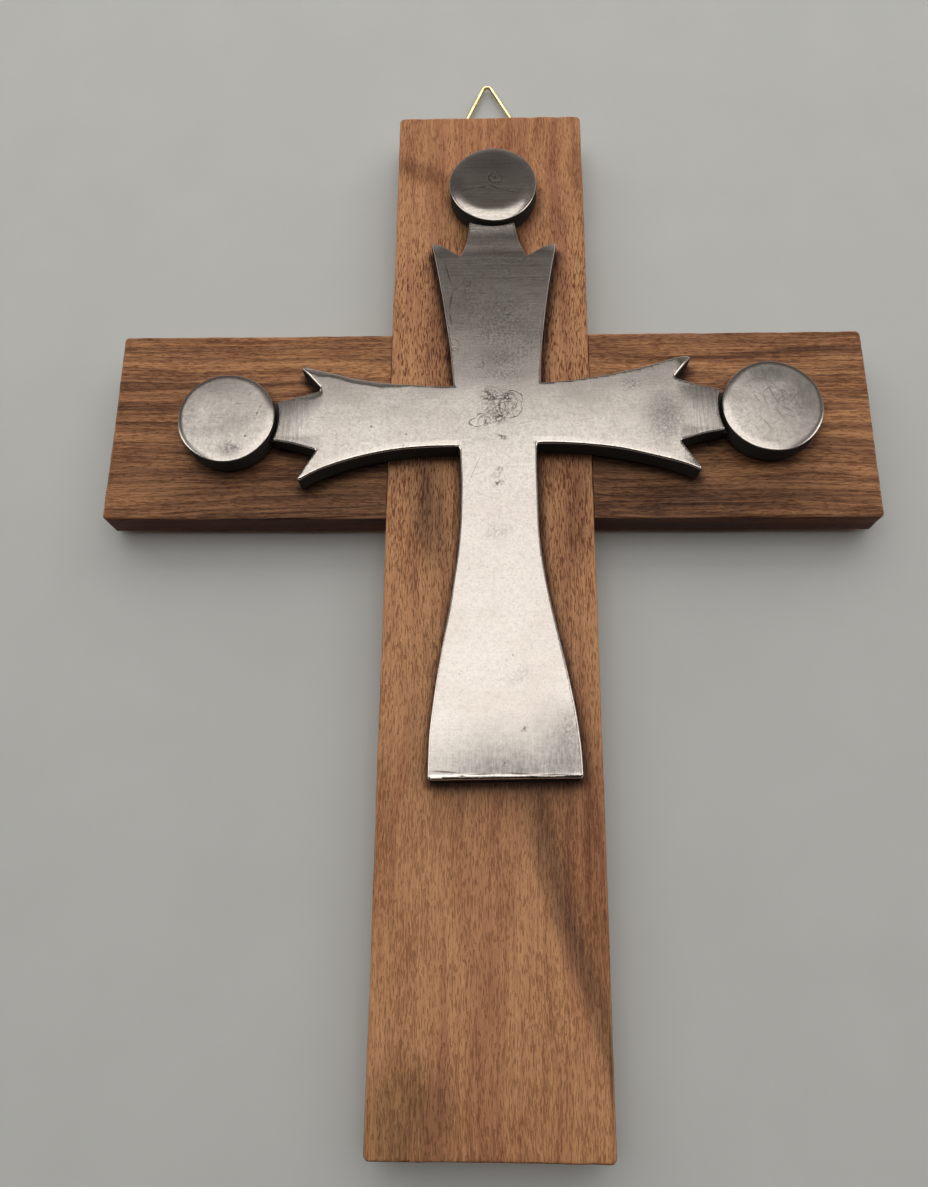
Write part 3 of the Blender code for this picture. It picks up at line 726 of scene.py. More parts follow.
# The first two veils darken the foot of the stem: patina and a painted dark reflection.
BODY_VEILS_AND_REFLECTIONS = [
    (18.5, -102, 17, 22, -10, 0.9), (5, -107, 36, 21, 0, 1), (50, -2.5, 9.5, 13, 0, 0.55),
    (48, 9, 6, 4, 20, 0.15), (22.5, -95, 2.4, 9, 0, 0.5), (-58, 0, 5, 8, 0, 0.25), (3, 18, 13, 6, 0, 0.2),
]
BODY_LINES = [
    (-4.4, -19, 0.16, 8.6, -22, 0.5), (-1.3, -1.2, 0.2, 3.6, -38, 0.45), (5.5, 31.9, 0.5, 0.5, 0, 0.9),
    (-34.2, -5, 0.5, 0.5, 0, 0.9), (-24, -7.6, 0.5, 0.4, 0, 0.8), (-24.8, -11.4, 0.2, 0.9, -20, 0.8),
    (3.9, -101.3, 0.45, 0.45, 0, 0.9), (6.2, -72.8, 0.4, 0.4, 0, 0.8), (-8, -78, 0.35, 0.35, 0, 0.6),
    (-12.7, 46.6, 0.3, 6.3, 14, 0.9), (-11.7, 37.1, 0.32, 4.2, -8, 0.9), (-11.7, 30.6, 0.3, 3.4, 10, 0.9),
    (-5.9, 33.8, 0.16, 3.4, -52, 0.5), (-8.4, 35, 0.14, 2.6, 62, 0.4), (2, -2.4, 0.4, 1.6, -50, 0.7),
    (4.8, 4.6, 0.9, 0.3, 20, 0.7), (-0.6, 6, 1.1, 0.45, -25, 0.8), (0.6, 3.4, 1.3, 0.35, 35, 0.7),
    (9.6, -4.2, 3.4, 0.13, 16, 0.45), (-48, -2, 3.4, 0.12, 0, 0.35), (40.5, 6.8, 2.6, 0.22, 40, 0.4),
    (-11.5, -103.6, 5.5, 0.4, -3, 1), (-2, -104.1, 5.5, 0.34, 2.2, 0.9), (7.5, -103.9, 5, 0.42, -2.2, 1),
    (16.5, -104.2, 6.5, 0.4, 2, 1), (-7, -104.7, 1.2, 0.5, 0, 0.9), (11, -104.8, 2, 0.5, 0, 0.9),
    (17.2, -101, 0.12, 3, 4, 0.6), (18.6, -99.6, 0.12, 3.6, 2, 0.5), (-38, 3, 0.12, 5, -12, 0.3),
    (-30, 1, 0.12, 6, 8, 0.25), (28, -3, 6, 0.12, 12, 0.25),
]
BODY_LOOPS = [
    (-3.3, -3.4, 2.9, 1.5, 32, 1), (6.1, 2.2, 3.2, 4.4, -10, 1), (2.6, -0.6, 4.8, 2.2, 38, 0.8),
    (-1.6, -3.2, 2.2, 1.3, 10, 0.8), (3.6, 2.2, 4.4, 3.2, 20, 0.7), (5.2, 3, 2.2, 3, -20, 0.6),
    (-11, 22, 1.5, 2.4, 10, 0.7), (-10.6, 19.2, 1.1, 1.6, -10, 0.6), (3.9, -101.3, 0.9, 0.9, 0, 0.5),
    (1, 6, 2.6, 1.6, -20, 0.5),
]
metal_body = cast_metal("rubbed cast metal", 0.0, BODY_PATCHES, BODY_VEILS_AND_REFLECTIONS, BODY_LINES, BODY_LOOPS)
print("marks of the body", sum(len(marks) for marks in (BODY_PATCHES, BODY_VEILS_AND_REFLECTIONS, BODY_LINES, BODY_LOOPS)))

# %% [markdown]
# Each disc was rubbed on its own, so it gets a finish of its own. Its numbers are the turn of its
# brushing in degrees, then its patches, veils, lines and loops.

# %% Marks of the discs
DISC_MARKS = {
    "top": (
        0,
        [],
        [(1.6, 87, 13, 8, 0, 0.45), (-10, 78.8, 3, 5, 0, 0.4)],
        [(-7.2, 77.2, 2.6, 0.3, 13, 1.6), (-2.6, 78.3, 3.2, 0.3, 15, 1.6), (1.8, 78, 2.4, 0.3, -28, 1.6),
         (6.5, 76.4, 3.6, 0.26, -13, 1.6), (-1, 75.8, 3.2, 0.18, 40, 0.9), (1.6, 81.6, 0.8, 0.6, 0, 0.8)],
        [(1.6, 81.6, 2.1, 2, 0, 2.2)],
    ),
    "right": (
        38,
        [(84, 4, 4, 5, 0, 0.35)],
        [(90, 4, 13, 17, 15, 0.56), (86, 9, 7, 5, 20, 0.4), (73, 11, 6, 4, 30, 0.3),
         (80.5, 11, 13, 6.5, 0, 0.75)],
        [(81.2, 5, 0.2, 4.6, 24, 0.8), (85.4, -0.4, 2.6, 0.2, -28, 0.75), (79, -5, 0.16, 4, 35, 0.5),
         (88, 4, 0.16, 3, -40, 0.5), (77, 3, 0.14, 5, 30, 0.6), (83, -2, 0.14, 4, 28, 0.6)],
        [(80, 6, 5.5, 2.6, -35, 0.3), (84, 2, 6.5, 3.4, -40, 0.35)],
    ),
    "left": (
        4,
        [(-74.6, -11.5, 5, 3.6, 0, 0.75)],
        [(-75, -12.5, 6, 4, 0, 0.6), (-80, 10, 14, 7, 8, 0.35), (-88, 0, 9, 14, 0, 0.35),
         (-77, -3, 16, 13, 0, 0.38)],
        [(-67.7, -0.6, 0.35, 0.9, -15, 0.8), (-66.9, 1.6, 0.25, 0.7, -20, 0.7),
         (-70.6, -7.9, 0.5, 0.45, 0, 1.2), (-73, 2.6, 3.6, 0.14, 3, 0.4), (-78, -2, 4, 0.14, -4, 0.35),
         (-70, 6, 0.25, 1, -30, 0.6)],
        [],
    ),
}
metal_disc = {name: cast_metal(f"rubbed metal disc {name}", *marks) for name, marks in DISC_MARKS.items()}
print("disc finishes", len(metal_disc))

# %% [markdown]
# The outline of the cross is drawn arm by arm: a flare that opens like a curve, a sharp tip, a
# notch behind it and a neck. The neck ends in a hollow round the disc. Each number was set against
# the photograph, and no two edges are alike, because the pattern was cut by hand.

# %% Numbers of the metal cross
METAL_CENTRE = Vector((2.4, 0.0))
METAL_TURN = math.radians(1.0)
METAL_FRONT, METAL_BACK = -18.5, -11.7
GROOVE = 1.15
ARMS = {
    "top": {
        "bearing": 90.0, "disc": (79.8, 0.0, 13.65),
        "left": {"root": 12.9, "tip": (60.1, 19.6), "power": 1.35, "notch": (52.7, 10.3), "neck": 6.7},
        "right": {"root": 12.7, "tip": (58.9, 19.4), "power": 1.55, "notch": (52.4, 9.7), "neck": 5.2},
    },
    "right": {
        "bearing": 0.0, "disc": (78.9, -0.4, 14.3),
        "left": {"root": 8.9, "tip": (58.0, 17.9), "power": 1.75, "notch": (51.3, 9.4), "neck": 4.0},
        "right": {"root": 10.8, "tip": (58.1, 20.4), "power": 2.1, "notch": (51.7, 10.7), "neck": 5.7},
    },
    "left": {
        "bearing": 180.0, "disc": (79.2, 0.4, 14.05),
        "left": {"root": 11.2, "tip": (58.9, 21.5), "power": 2.65, "notch": (52.4, 11.4), "neck": 5.7},
        "right": {"root": 8.4, "tip": (59.4, 17.3), "power": 2.0, "notch": (51.5, 8.4), "neck": 3.3},
    },
}
print("arms", list(ARMS))

# %% [markdown]
# An edge is a row of points, along and across its arm. Where a file or a saw has left a corner, a
# small arc takes its place. The outline could also be traced as one curve, but in this way each
# part of the pattern keeps its name and can be set alone.

# %% Edges of an arm
NECK_REACH, NECK_WAIST = 72.0, 0.45
FLARE_POINTS, NECK_TRIALS, HOLLOW_POINTS = 40, 400, 10
TIP_CLEAR, CORNER_CLEAR, CORNER_ROUNDING = 2.8, 1.2, 0.6
TIP_ROUNDING, NOTCH_ROUNDING = 0.6, 0.5


def bearing_turn(arm, further=0.0):
    """Turns an arm's own places, as (along, across), to where the arm points."""
    return Matrix.Rotation(math.radians(arm["bearing"]) + further, 2)


def eased(share):
    """A share from 0 to 1 that starts and ends slowly."""
    return share * share * (3 - 2 * share)


def rounded(before, corner, after, radius, count=4):
    """Points of an arc that replaces a corner of an outline."""
    to_before, to_after = (before - corner).normalized(), (after - corner).normalized()
    half = to_before.angle(to_after) / 2
    centre = corner + (to_before + to_after).normalized() * radius / math.sin(half)
    start = corner + to_before * radius / math.tan(half) - centre
    end = corner + to_after * radius / math.tan(half) - centre
    return [centre + start.lerp(end, i / count).normalized() * radius for i in range(count + 1)]


def arm_edge(edge, root_at, disc, side):
    """One edge of an arm, as (along, across) from its root to the hollow at the end of its neck."""
    tip, notch, neck_end = Vector(edge["tip"]), Vector(edge["notch"]), Vector((NECK_REACH, edge["neck"]))
    points = []
    for i in range(FLARE_POINTS):
        share = i / FLARE_POINTS
        across = edge["root"] + (tip.y - edge["root"]) * share ** edge["power"]
        points.append(Vector((root_at + (tip.x - root_at) * share, across)))
    while (points[-1] - tip).length < TIP_CLEAR:
        points.pop()
    points += rounded(points[-1], tip, notch, TIP_ROUNDING)
    points += rounded(tip, notch, neck_end, NOTCH_ROUNDING)
    middle, radius = Vector((disc[0], disc[1] * side)), disc[2] + GROOVE
    start, last = points[-1], points[-1]
    for i in range(1, NECK_TRIALS):
        share = i / NECK_TRIALS
        last = start.lerp(neck_end, share)
        last.y -= NECK_WAIST * math.sin(math.pi * min(1.0, share * 1.35))
        if (last - middle).length < radius:
            break
        if (last - points[-1]).length > 0.9:
            points.append(last)
    while (points[-1] - last).length < CORNER_CLEAR:
        points.pop()
    return points + [last]


def hollow(disc, first, last):
    """The arc round the disc, between the ends of the neck's two edges."""
    middle, radius = Vector(disc[:2]), disc[2] + GROOVE
    start, end = (math.atan2(p.y - middle.y, p.x - middle.x) % math.tau for p in (first, last))
    turns = [start + (end - start) * i / HOLLOW_POINTS for i in range(1, HOLLOW_POINTS)]
    return [middle + radius * Vector((math.cos(a), math.sin(a))) for a in turns]


def arm_outline(arm, left_root, right_root):
    """An arm's outline, from its right root out and back to its left root."""
    out = [Vector((p.x, -p.y)) for p in arm_edge(arm["right"], right_root, arm["disc"], -1)]
    back = arm_edge(arm["left"], left_root, arm["disc"], 1)[::-1]
    arc = hollow(arm["disc"], out[-1], back[0])
    points = out[:-1] + rounded(out[-2], out[-1], arc[0], CORNER_ROUNDING) + arc
    points += rounded(arc[-1], back[0], back[1], CORNER_ROUNDING) + back[1:]
    return [bearing_turn(arm) @ p for p in points]


print("edges of an arm ready")

# %% [markdown]
# The stem narrows a little below the crossing and then opens like a bell. With it the outline is
# complete: up the right side, round the three arms and down the left side. The whole cross is
# turned by one degree, because it was fixed slightly askew.

# %% The whole outline
STEM_LENGTH, STEM_WAIST = 105.4, 20.0
STEM = {
    "left": {"root": 11.6, "waist": 10.9, "foot": 20.2, "opens": 27.0, "closes": 104.0},
    "right": {"root": 11.1, "waist": 10.7, "foot": 19.8, "opens": 34.0, "closes": 103.5},
}
STEM_POINTS, FOOT_ROUNDING = 90, 0.9


def stem_edge(edge, arm_root):
    """One edge of the stem, as (along, across) from the crossing down to its foot."""
    start = arm_root + 1.0
    points = []
    for i in range(STEM_POINTS):
        along = start + (STEM_LENGTH - start) * i / (STEM_POINTS - 1)
        share = min(max((along - edge["opens"]) / (edge["closes"] - edge["opens"]), 0.0), 1.0)
        across = edge["root"] + (edge["waist"] - edge["root"]) * min(along / STEM_WAIST, 1.0)
        points.append(Vector((along, across + (edge["foot"] - edge["waist"]) * eased(share))))
    corner = points.pop()
    return points + rounded(points[-1], corner, Vector((corner.x, 0.0)), FOOT_ROUNDING)


def cross_outline():
    """The whole outline, seen from the front."""
    root = {(name, side): ARMS[name][side]["root"] for name in ARMS for side in ("left", "right")}
    points = [Vector((p.y, -p.x)) for p in stem_edge(STEM["right"], root["right", "right"])[::-1]]
    points += arm_outline(ARMS["right"], root["top", "right"], STEM["right"]["root"])
    points += arm_outline(ARMS["top"], root["left", "right"], root["right", "left"])[1:]
    points += arm_outline(ARMS["left"], STEM["left"]["root"], root["top", "left"])[1:]
    return points + [Vector((-p.y, -p.x)) for p in stem_edge(STEM["left"], root["left", "left"])]


placed = Matrix.Rotation(METAL_TURN, 2)
outline = []
for point in cross_outline():
    point = METAL_CENTRE + placed @ point
    if not outline or (point - outline[-1]).length > 0.08:
        outline.append(point)
print("outline points", len(outline))

# %% [markdown]
# The body of the casting starts as that outline, filled with one face and extruded to its
# thickness. Narrow insets lay rows of faces along the rim, and the middle is cut into a fine grid.
# A remesh would be quicker to write, but it would blunt the tips. Blender doesn't always list the
# faces of an extrusion in the same order, so they are sorted, and each run gives the same casting.

# %% Raw casting
RIM_ROWS = (0.10, 0.16, 0.22)
FACE_CELL = 0.55
WALL_CELL = 0.85
LONGEST_EDGE = 1.3


def corner_numbers(element):
    """The numbers of the points of an edge or a face."""
    return sorted(vert.index for vert in element.verts)


def put_in_order(shape):
    """Sorts points by place, then edges and faces by their points."""
    by_place = (shape.verts, lambda vert: vert.co[:])
    for elements, key in (by_place, (shape.edges, corner_numbers), (shape.faces, corner_numbers)):
        rank = {element: number for number, element in enumerate(sorted(elements, key=key))}
        elements.sort(key=rank.get)
        elements.index_update()


def casting_prism():
    """The outline, filled and extruded backwards, with its long edges divided."""
    shape = bmesh.new()
    shape.faces.new([shape.verts.new((p.x * MM, METAL_FRONT * MM, p.y * MM)) for p in outline])
    for _ in range(5):
        long_ones = [e for e in shape.edges if e.calc_length() > LONGEST_EDGE * MM]
        bmesh.ops.subdivide_edges(shape, edges=long_ones, cuts=1)
    extrude(shape, shape.faces[:], (0.0, (METAL_BACK - METAL_FRONT) * MM, 0.0))
    bmesh.ops.recalc_face_normals(shape, faces=shape.faces)
    put_in_order(shape)
    return shape


casting = casting_prism()
walls = casting.copy()
bmesh.ops.delete(walls, geom=[f for f in walls.faces if abs(f.normal.y) > 0.5], context="FACES_ONLY")
rim = BVHTree.FromBMesh(walls)
middle_faces = [f for f in casting.faces if f.normal.y < -0.9]
for row in RIM_ROWS:
    bmesh.ops.inset_region(casting, faces=middle_faces, thickness=row * MM, depth=0.0,
                           use_even_offset=True, use_boundary=True)
for axis, number in ((0, 0), (2, 1)):
    lowest, highest = (end(p[number] for p in outline) * MM for end in (min, max))
    middle_faces = cut_small(casting, middle_faces, axis, steps(lowest, highest, FACE_CELL * MM))
wall_faces = [f for f in casting.faces if abs(f.normal.y) < 0.5]
cut_small(casting, wall_faces, 1, steps(METAL_FRONT * MM, METAL_BACK * MM, WALL_CELL * MM))
put_in_order(casting)
bmesh.ops.remove_doubles(casting, verts=casting.verts, dist=0.02 * MM)
print("raw casting faces", len(casting.faces))

# %% [markdown]
# Every point of the face is then moved back by a small amount. The rim is rounded by how near a
# point is to the edge, the necks slope down to their discs, and the face gets the slight waves
# that a file leaves. The drop is full on the face and fades out towards the back.

# %% How far a point falls
TIP_FALL, LOW_TIP_FALL, TIP_REACH = 2.2, 0.6, 6.5
NECKS = {"top": (53.0, 1.5, 0.70, 0.16), "right": (52.0, 0.55, 1.0, 0.0), "left": (51.0, 0.95, 1.0, 0.0)}
NECK_END, NECK_START, NECK_HALF, NECK_ROUND = 65.5, 5.0, 12.0, 6.5
TIGHT_RIM, SOFT_RIM, SOFTER_BELOW, RIM_WIDTH = 0.52, 0.55, 1.15, 0.7
LEFT_SLOPE, SLOPE_WIDTH = (24.0, 57.0), 1.5
FACE_DEPTH = 0.10


def waves(place, size, shift, height):
    """A wave of that size and height. The shift makes it another one."""
    return height * noise.noise(place / size + Vector((shift,) * 3))


def settle(vert, place, drop, front, sway_size, sway_shift, sway):
    """Moves a point back by the drop, and less the deeper it lies, and sways it along the face."""
    share = (METAL_BACK - place.y) / (METAL_BACK - front)
    aside = Vector((waves(place, sway_size, 0.0, sway), 0.0, waves(place, sway_size, sway_shift, sway)))
    vert.co = (place + aside) * MM
    vert.co.y = (place.y + drop * share) * MM


def arm_frame(place):
    """Which arm a place is on, and how far along and across it the place is."""
    local = Matrix.Rotation(-METAL_TURN, 2) @ (Vector((place.x, place.z)) - METAL_CENTRE)
    best = ("stem", -local.y, local.x)
    for name, arm in ARMS.items():
        along, across = bearing_turn(arm).transposed() @ local
        if along > best[1]:
            best = (name, along, across)
    return best


def neck_fall(name, along):
    """How far a neck lies below the face: it slopes down towards the disc, and may rise at its end."""
    start, fall, turning, rise = NECKS[name]
    share = min(1.0, (along - start) / (NECK_END - start))
    if turning == 1.0:
        return fall * share ** 2.1
    return fall * eased(min(1.0, share / turning)) - rise * max(0.0, (share - turning) / (1.0 - turning)) ** 2


def rim_fall(place, edge, outward, name, along, across):
    """How far the rim is rounded down at a distance from its edge. Lower edges were rubbed the most,
    and the upper edge of the left arm was filed to a slope."""
    tight = TIGHT_RIM + waves(place, 9.0, 0.0, 0.16)
    fall = tight - math.sqrt(max(0.0, tight * tight - (tight - edge) ** 2)) if edge < tight else 0.0
    if name == "left" and across < 0 and LEFT_SLOPE[0] < along < LEFT_SLOPE[1] and outward.z > 0.7:
        soft = SLOPE_WIDTH + 0.9 * noise.noise(Vector((place.x / 6.0, 5.0, 5.0)))
        return fall + 0.36 * max(0.0, soft * min(1.0, (along - LEFT_SLOPE[0]) / 10.0) - edge)
    soft = SOFT_RIM + SOFTER_BELOW * max(0.0, -outward.z) + waves(place, 12.0, 2.0, 0.45)
    if name != "stem" and along > 49.0:
        soft *= 0.5
    return fall + 0.17 * (soft - edge) ** 2 / soft if edge < soft else fall


print("falls ready")

# %% [markdown]
# The six tips of the arms were hammered or filed down, the upper ones most. Two numbers are kept
# at each point for the finish: how far it is into a neck, and how near to the rim.

# %% Shaping the casting
tips = []
for arm in ARMS.values():
    for side, sign in (("left", 1), ("right", -1)):
        tip_along, tip_across = arm[side]["tip"]
        tips.append(METAL_CENTRE + placed @ bearing_turn(arm) @ Vector((tip_along, sign * tip_across)))
neck_share = casting.verts.layers.float.new("neck")
rim_share = casting.verts.layers.float.new("rim")
for vert in casting.verts:
    place = vert.co / MM
    _, outward, _, edge = rim.find_nearest(vert.co)
    name, along, across = arm_frame(place)
    drop = rim_fall(place, edge / MM, outward, name, along, across)
    drop += FACE_DEPTH + waves(place, 13.0, 4.0, 0.045) + waves(place, 4.0, 0.0, 0.008)
    if name != "stem" and along > NECKS[name][0]:
        into_neck = min(1.0, (along - NECKS[name][0]) / NECK_START)
        if abs(across) < NECK_HALF:
            vert[neck_share] = -into_neck if name == "top" else into_neck
        drop += neck_fall(name, along) * max(0.0, min(1.0, (13.5 - abs(across)) / 3.5))
        drop += 0.007 * min(abs(across), NECK_ROUND) ** 2 * into_neck
    near_tip = min((Vector((place.x, place.z)) - tip).length for tip in tips)
    fall = TIP_FALL if place.z > 5.0 else LOW_TIP_FALL
    drop += fall * max(0.0, 1.0 - near_tip / TIP_REACH) ** 2
    vert[rim_share] = max(0.0, 1.0 - edge / MM / RIM_WIDTH)
    settle(vert, place, drop, METAL_FRONT, 9.0, 9.0, 0.12)
add_piece("casting_body", casting, metal_body, "cast metal", "cross", "metal_cross")
walls.free()

# %% [markdown]
# A disc closes each of the three upper arms. It was turned, or filed as if it had been: a profile
# from the middle to the rim and down the side is spun round the disc's axis. A short tongue, low
# down, ties it to its neck, and the groove between them stays dark.

# %% Discs
DISC_TURNS = 128
DISC_FRONT = -18.7
TONGUE_FRONT, TONGUE_LENGTH = -14.6, 3.2
DISC_TIGHT = 0.26
FLAT_ROWS, RIM_STEPS, SIDE_ROWS = 34, 6, 7
DISC_DOMES = {"top": (4.4, 0.36, -62.0), "right": (2.0, 0.28, -130.0), "left": (2.2, 0.27, -50.0)}


def spun(profile, middle, count):
    """A profile of (radius, y) points, spun all the way round."""
    shape = bmesh.new()
    points = [shape.verts.new((middle + Vector((r, y, 0.0))) * MM) for r, y in profile]
    edges = [shape.edges.new(pair) for pair in zip(points, points[1:])]
    bmesh.ops.spin(shape, geom=points + edges, cent=middle * MM, axis=(0, 1, 0), angle=math.tau,
                   steps=count, use_merge=True)
    bmesh.ops.remove_doubles(shape, verts=shape.verts, dist=0.005 * MM)
    return shape


def disc_profile(radius):
    """Half a disc's section: its face, its tight rim, its side and its back."""
    flat, side_from = radius - DISC_TIGHT, DISC_FRONT + DISC_TIGHT
    profile = [(flat * i / FLAT_ROWS, DISC_FRONT) for i in range(FLAT_ROWS + 1)]
    for i in range(1, RIM_STEPS + 1):
        a = QUARTER * i / RIM_STEPS
        profile.append((flat + DISC_TIGHT * math.sin(a), side_from - DISC_TIGHT * math.cos(a)))
    row = (METAL_BACK - side_from) / SIDE_ROWS
    return profile + [(radius, side_from + row * i) for i in range(1, SIDE_ROWS + 1)] + [(0.0, METAL_BACK)]


def disc_shape(name, arm):
    """One disc with its tongue, in its place."""
    along, left, radius = arm["disc"]
    turn = bearing_turn(arm, METAL_TURN)
    middle, inward = METAL_CENTRE + turn @ Vector((along, left)), turn @ Vector((-1.0, 0.0))
    centre, toward = Vector((middle.x, 0.0, middle.y)), Vector((inward.x, 0.0, inward.y))
    shape = spun(disc_profile(radius), centre, DISC_TURNS)
    bmesh.ops.recalc_face_normals(shape, faces=shape.faces)
    tongue = [f for f in shape.faces if abs(f.normal.y) < 0.3 and f.normal.dot(toward) > 0.9
              and f.calc_center_median().y > TONGUE_FRONT * MM]
    extrude(shape, tongue, toward * TONGUE_LENGTH * MM)
    bmesh.ops.delete(shape, geom=tongue, context="FACES")

    soft, slope, widest = DISC_DOMES[name]
    for vert in shape.verts:
        place = vert.co / MM
        out = place - centre
        bearing = math.atan2(out.z, out.x) - math.radians(widest)
        reach = soft * (0.80 + 0.30 * math.cos(bearing)) + waves(place, 6.0, 0.0, 0.4)
        edge = radius - math.hypot(out.x, out.z)
        dome = slope * max(0.0, reach - edge) ** 2 / (2 * reach)
        drop = dome + FACE_DEPTH + waves(place, 9.0, 0.0, 0.035) + waves(place, 3.0, 0.0, 0.006)
        settle(vert, place, drop, DISC_FRONT, 11.0, 7.0, 0.25)
    return shape


for name, arm in ARMS.items():
    disc = disc_shape(name, arm)
    add_piece(f"casting_disc_{name}", disc, metal_disc[name], "cast metal", "cross", "metal_cross")

# %% [markdown]
# Wax and dust gather in the corner where the metal meets the wood, and the metal's shadow falls
# there too. Both are painted as one dark band, widest below the metal and on its right. How near the
# wood is to the metal is stored at each point of the boards, and the walnut finish reads it.

# %% Dust along the metal
DISC_PLACES = [(METAL_CENTRE + bearing_turn(arm, METAL_TURN) @ Vector(arm["disc"][:2]), arm["disc"][2])
               for arm in ARMS.values()]
DISC_SHADOW_AND_DUST = 0.6
SHADOW_AND_DUST_WIDTH, WIDER_RIGHT, WIDER_BELOW = 2.2, 0.6, 0.35


def shadow_and_dust_near(gap, side, most):
    """How dark the dust and painted shadow are at a gap from the metal, on one side of it."""
    width = SHADOW_AND_DUST_WIDTH + WIDER_RIGHT * side.x - WIDER_BELOW * side.y
    return most * min(1.0, max(0.0, 1.35 - gap / width)) ** 1.6


def shadow_and_dust_at(place):
    """How dark the dust and painted shadow are at a place, from 0 to 1."""
    flat = Vector((place.x, place.z))
    _, outward, _, gap = rim.find_nearest(Vector((place.x, METAL_BACK, place.z)) * MM)
    found = [shadow_and_dust_near(gap / MM, Vector((outward.x, outward.z)), 1.0)]
    for middle, radius in DISC_PLACES:
        away = flat - middle
        found.append(shadow_and_dust_near(abs(away.length - radius), away.normalized(), DISC_SHADOW_AND_DUST))
    return max(found)


# Each front point of the boards stores how much dust and painted shadow the metal gives it.
for name in ("upright_wood", "beam_wood"):
    wood_mesh = bpy.data.objects[name].data
    dust_and_shadow = wood_mesh.attributes.new("dust_and_shadow", "FLOAT", "POINT")
    for vert in wood_mesh.vertices:
        if vert.co.y < (BEAM_FRONT + 1.0) * MM:
            dust_and_shadow.data[vert.index].value = shadow_and_dust_at(vert.co / MM)
    print(name, "dusty points", sum(item.value > 0.05 for item in dust_and_shadow.data))

# %% [markdown]
# The hanger is brass: a strip whose top is rolled round a wire triangle, and two round-headed
# nails. Each is made as it is in the workshop. The strip and the wire start as a section that is
# extruded where it runs straight and spun where it bends, and a nail is a profile spun round.

# %% Brass
def brass_finish(name):
    """Drawn brass that has gone a little dull."""
    metal = Finish(name)
    cloud = metal.noise(metal.place, 0.5, 3.0)
    grit = metal.noise(metal.place, 6.0)
    colour = metal.blend(metal.ramp(cloud, 0.35, 0.7), (0.86, 0.80, 0.50), (0.66, 0.56, 0.27))
    colour = metal.blend(metal.ramp(grit, 0.6, 0.75, 0.0, 0.5), colour, (0.22, 0.15, 0.06))
    return metal.finish(colour, metal.ramp(cloud, 0.3, 0.7, 0.2, 0.36), metal.bump(grit, 0.006), 1.0)


brass = brass_finish("dull brass")
print("brass finish ready")

# %% [markdown]
# The wire goes once round the triangle: from the middle of its base to each corner in turn, where
# it is bent over a rod, and back to the middle. A curve with a round bevel would do, but its bends
# would be less even than these, which are spun.

# %% Wire triangle
PIVOT = Vector((0.5, 0.85, 106.5))
WIRE, HALF_BASE, LOOP_HEIGHT, LEAN, BEND = 0.75, 15.3, 33.0, -1.7, 1.6
WIRE_SIDES, BEND_STEPS, STRAIGHT = 16, 8, 3.0
CLOSING_PIECES = 5


def extrude_on(shape, ring, move, pieces):
    """Extrudes a ring of edges in a straight line, in pieces, and returns its new end."""
    for _ in range(pieces):
        made = bmesh.ops.extrude_edge_only(shape, edges=ring)["geom"]
        verts = [g for g in made if isinstance(g, bmesh.types.BMVert)]
        bmesh.ops.translate(shape, verts=verts, vec=move / pieces * MM)
        ring = [g for g in made if isinstance(g, bmesh.types.BMEdge) and all(v in made for v in g.verts)]
    return ring


def wire_triangle():
    """The wire, extruded along each side of the triangle and spun round each bend."""
    corners = [Vector((-HALF_BASE, 0, 0)), Vector((HALF_BASE, 0, 0)), Vector((LEAN, 0, LOOP_HEIGHT))]
    shape = bmesh.new()
    face_x = Matrix.Translation(PIVOT * MM) @ Matrix.Rotation(QUARTER, 4, "Y")
    made = bmesh.ops.create_circle(shape, segments=WIRE_SIDES, radius=WIRE * MM, matrix=face_x)
    ring = list(dict.fromkeys(e for v in made["verts"] for e in v.link_edges))
    here = Vector((0, 0, 0))
    for i in (1, 2, 0):
        before, corner, after = corners[i - 1], corners[i], corners[(i + 1) % 3]
        come, go = (corner - before).normalized(), (after - corner).normalized()
        bend = come.angle(go)
        run = BEND * math.tan(bend / 2)
        stop = corner - come * run
        ring = extrude_on(shape, ring, stop - here, max(1, round((stop - here).length / STRAIGHT)))
        inner = stop + (go - come * go.dot(come)).normalized() * BEND
        section = ring + list(dict.fromkeys(v for e in ring for v in e.verts))
        axis = come.cross(go).normalized()
        made = bmesh.ops.spin(shape, geom=section, cent=(PIVOT + inner) * MM, axis=axis, angle=bend,
                              steps=BEND_STEPS, use_merge=False)
        ring = [g for g in made["geom_last"] if isinstance(g, bmesh.types.BMEdge)]
        here = corner + go * run
    extrude_on(shape, ring, -here, CLOSING_PIECES)
    bmesh.ops.remove_doubles(shape, verts=shape.verts, dist=0.01 * MM)
    return shape


add_piece("wire_loop", wire_triangle(), brass, "brass", "loop", "hanger_loop")

# %% [markdown]
# The plate is a strip of sheet brass. Its section is extruded up the wood and spun round the wire,
# as the maker rolls it round a rod, and stops just short of closing. The nails are profiles spun
# round, and their heads are dented a little, as a hammer leaves them.

# %% Plate and nails
PLATE_BOTTOM, PLATE_WIDTH, SHEET, PLATE_FRONT = 92.5, 14.0, 0.5, -0.6
ACROSS = (0, 0.08, 0.5, 0.92, 1)
PLATE_ROWS, ROLL_STEPS = 10, 30
ROLL_TURN = math.radians(318.0)
RUBBED_FLAT = 2.27
NAIL_Z, NAIL_SPACING, HEAD_BACK, DENT, NAIL_TURNS = 97.5, 7.0, 0.2, 0.05, 32
NAIL_PROFILE = ((0.0, 0.7), (0.35, 0.69), (0.75, 0.62), (1.15, 0.48), (1.45, 0.30), (1.62, 0.13), (1.7, 0.02),
                (1.62, 0.0), (0.6, 0.0), (0.6, -1.5), (0.6, -3.0), (0.6, -5.6), (0.0, -7.0))


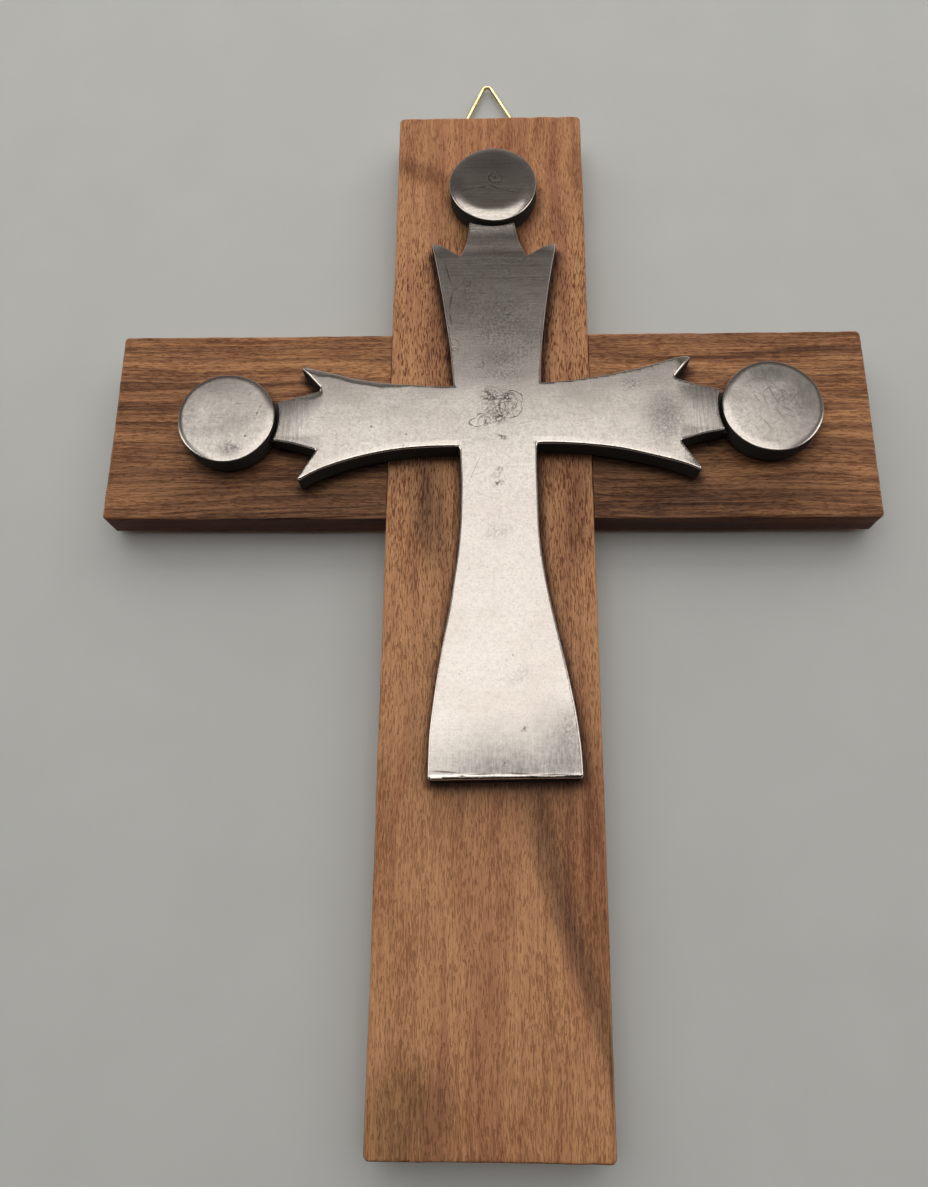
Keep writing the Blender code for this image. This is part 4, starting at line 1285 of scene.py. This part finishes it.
def rolled_plate():
    """A strip with its top rolled back over the wire, then down onto the strip again."""
    shape = bmesh.new()
    low = Vector((PIVOT.x - PLATE_WIDTH / 2, PLATE_FRONT, PLATE_BOTTOM))
    corners = [(u, 0) for u in ACROSS] + [(u, 1) for u in reversed(ACROSS)]
    places = [low + Vector((PLATE_WIDTH * u, SHEET * v, 0)) for u, v in corners]
    section = shape.faces.new([shape.verts.new(place * MM) for place in places])
    end = [section]
    for _ in range(PLATE_ROWS):
        risen = extrude(shape, end, (0, 0, (PIVOT.z - PLATE_BOTTOM) / PLATE_ROWS * MM))
        bmesh.ops.delete(shape, geom=[f for f in end if f.is_valid and f is not section], context="FACES")
        end = risen
    geometry = end + list(end[0].edges) + list(end[0].verts)
    bmesh.ops.spin(shape, geom=geometry, cent=PIVOT * MM, axis=(-1, 0, 0), angle=ROLL_TURN, steps=ROLL_STEPS)
    bmesh.ops.delete(shape, geom=[f for f in end if f.is_valid], context="FACES")
    bmesh.ops.remove_doubles(shape, verts=shape.verts, dist=0.01 * MM)
    for vert in shape.verts:
        vert.co.y = min(vert.co.y, RUBBED_FLAT * MM)
    return shape


def nail(x):
    """A round-headed nail, spun from its profile and dented."""
    middle = Vector((x, HEAD_BACK, NAIL_Z))
    shape = spun(NAIL_PROFILE, middle, NAIL_TURNS)
    for vert in shape.verts:
        place = vert.co / MM
        if place.y > HEAD_BACK + DENT:
            vert.co.y -= DENT * abs(noise.noise(place * 1.3)) * MM
    return shape


add_piece("rolled_plate", rolled_plate(), brass, "brass", "cross", "hanger_plate")
for side, sign in (("left", -1), ("right", 1)):
    shape = nail(PIVOT.x + sign * NAIL_SPACING / 2)
    add_piece(f"nail_{side}", shape, brass, "brass", "cross", f"hanger_nail_{side}")

# %% [markdown]
# A photographer would flag these lights off the wood. Here the hanger light is told to reach only
# the brass, and the low lights only the casting, so that neither changes the boards or the wall.

# %% Lights for the brass and the casting
BRASS_PIECES = ("wire_loop", "rolled_plate", "nail_left", "nail_right")
CAST_PIECES = ("casting_body", *(f"casting_disc_{name}" for name in ARMS))
LIT_ALONE = {"brass pieces": ([hanger_light], BRASS_PIECES), "cast pieces": (low_lights, CAST_PIECES)}
for group_name, (lamps, names) in LIT_ALONE.items():
    group = bpy.data.collections.new(group_name)
    for name in names:
        group.objects.link(bpy.data.objects[name])
    for lamp in lamps:
        lamp.light_linking.receiver_collection = group
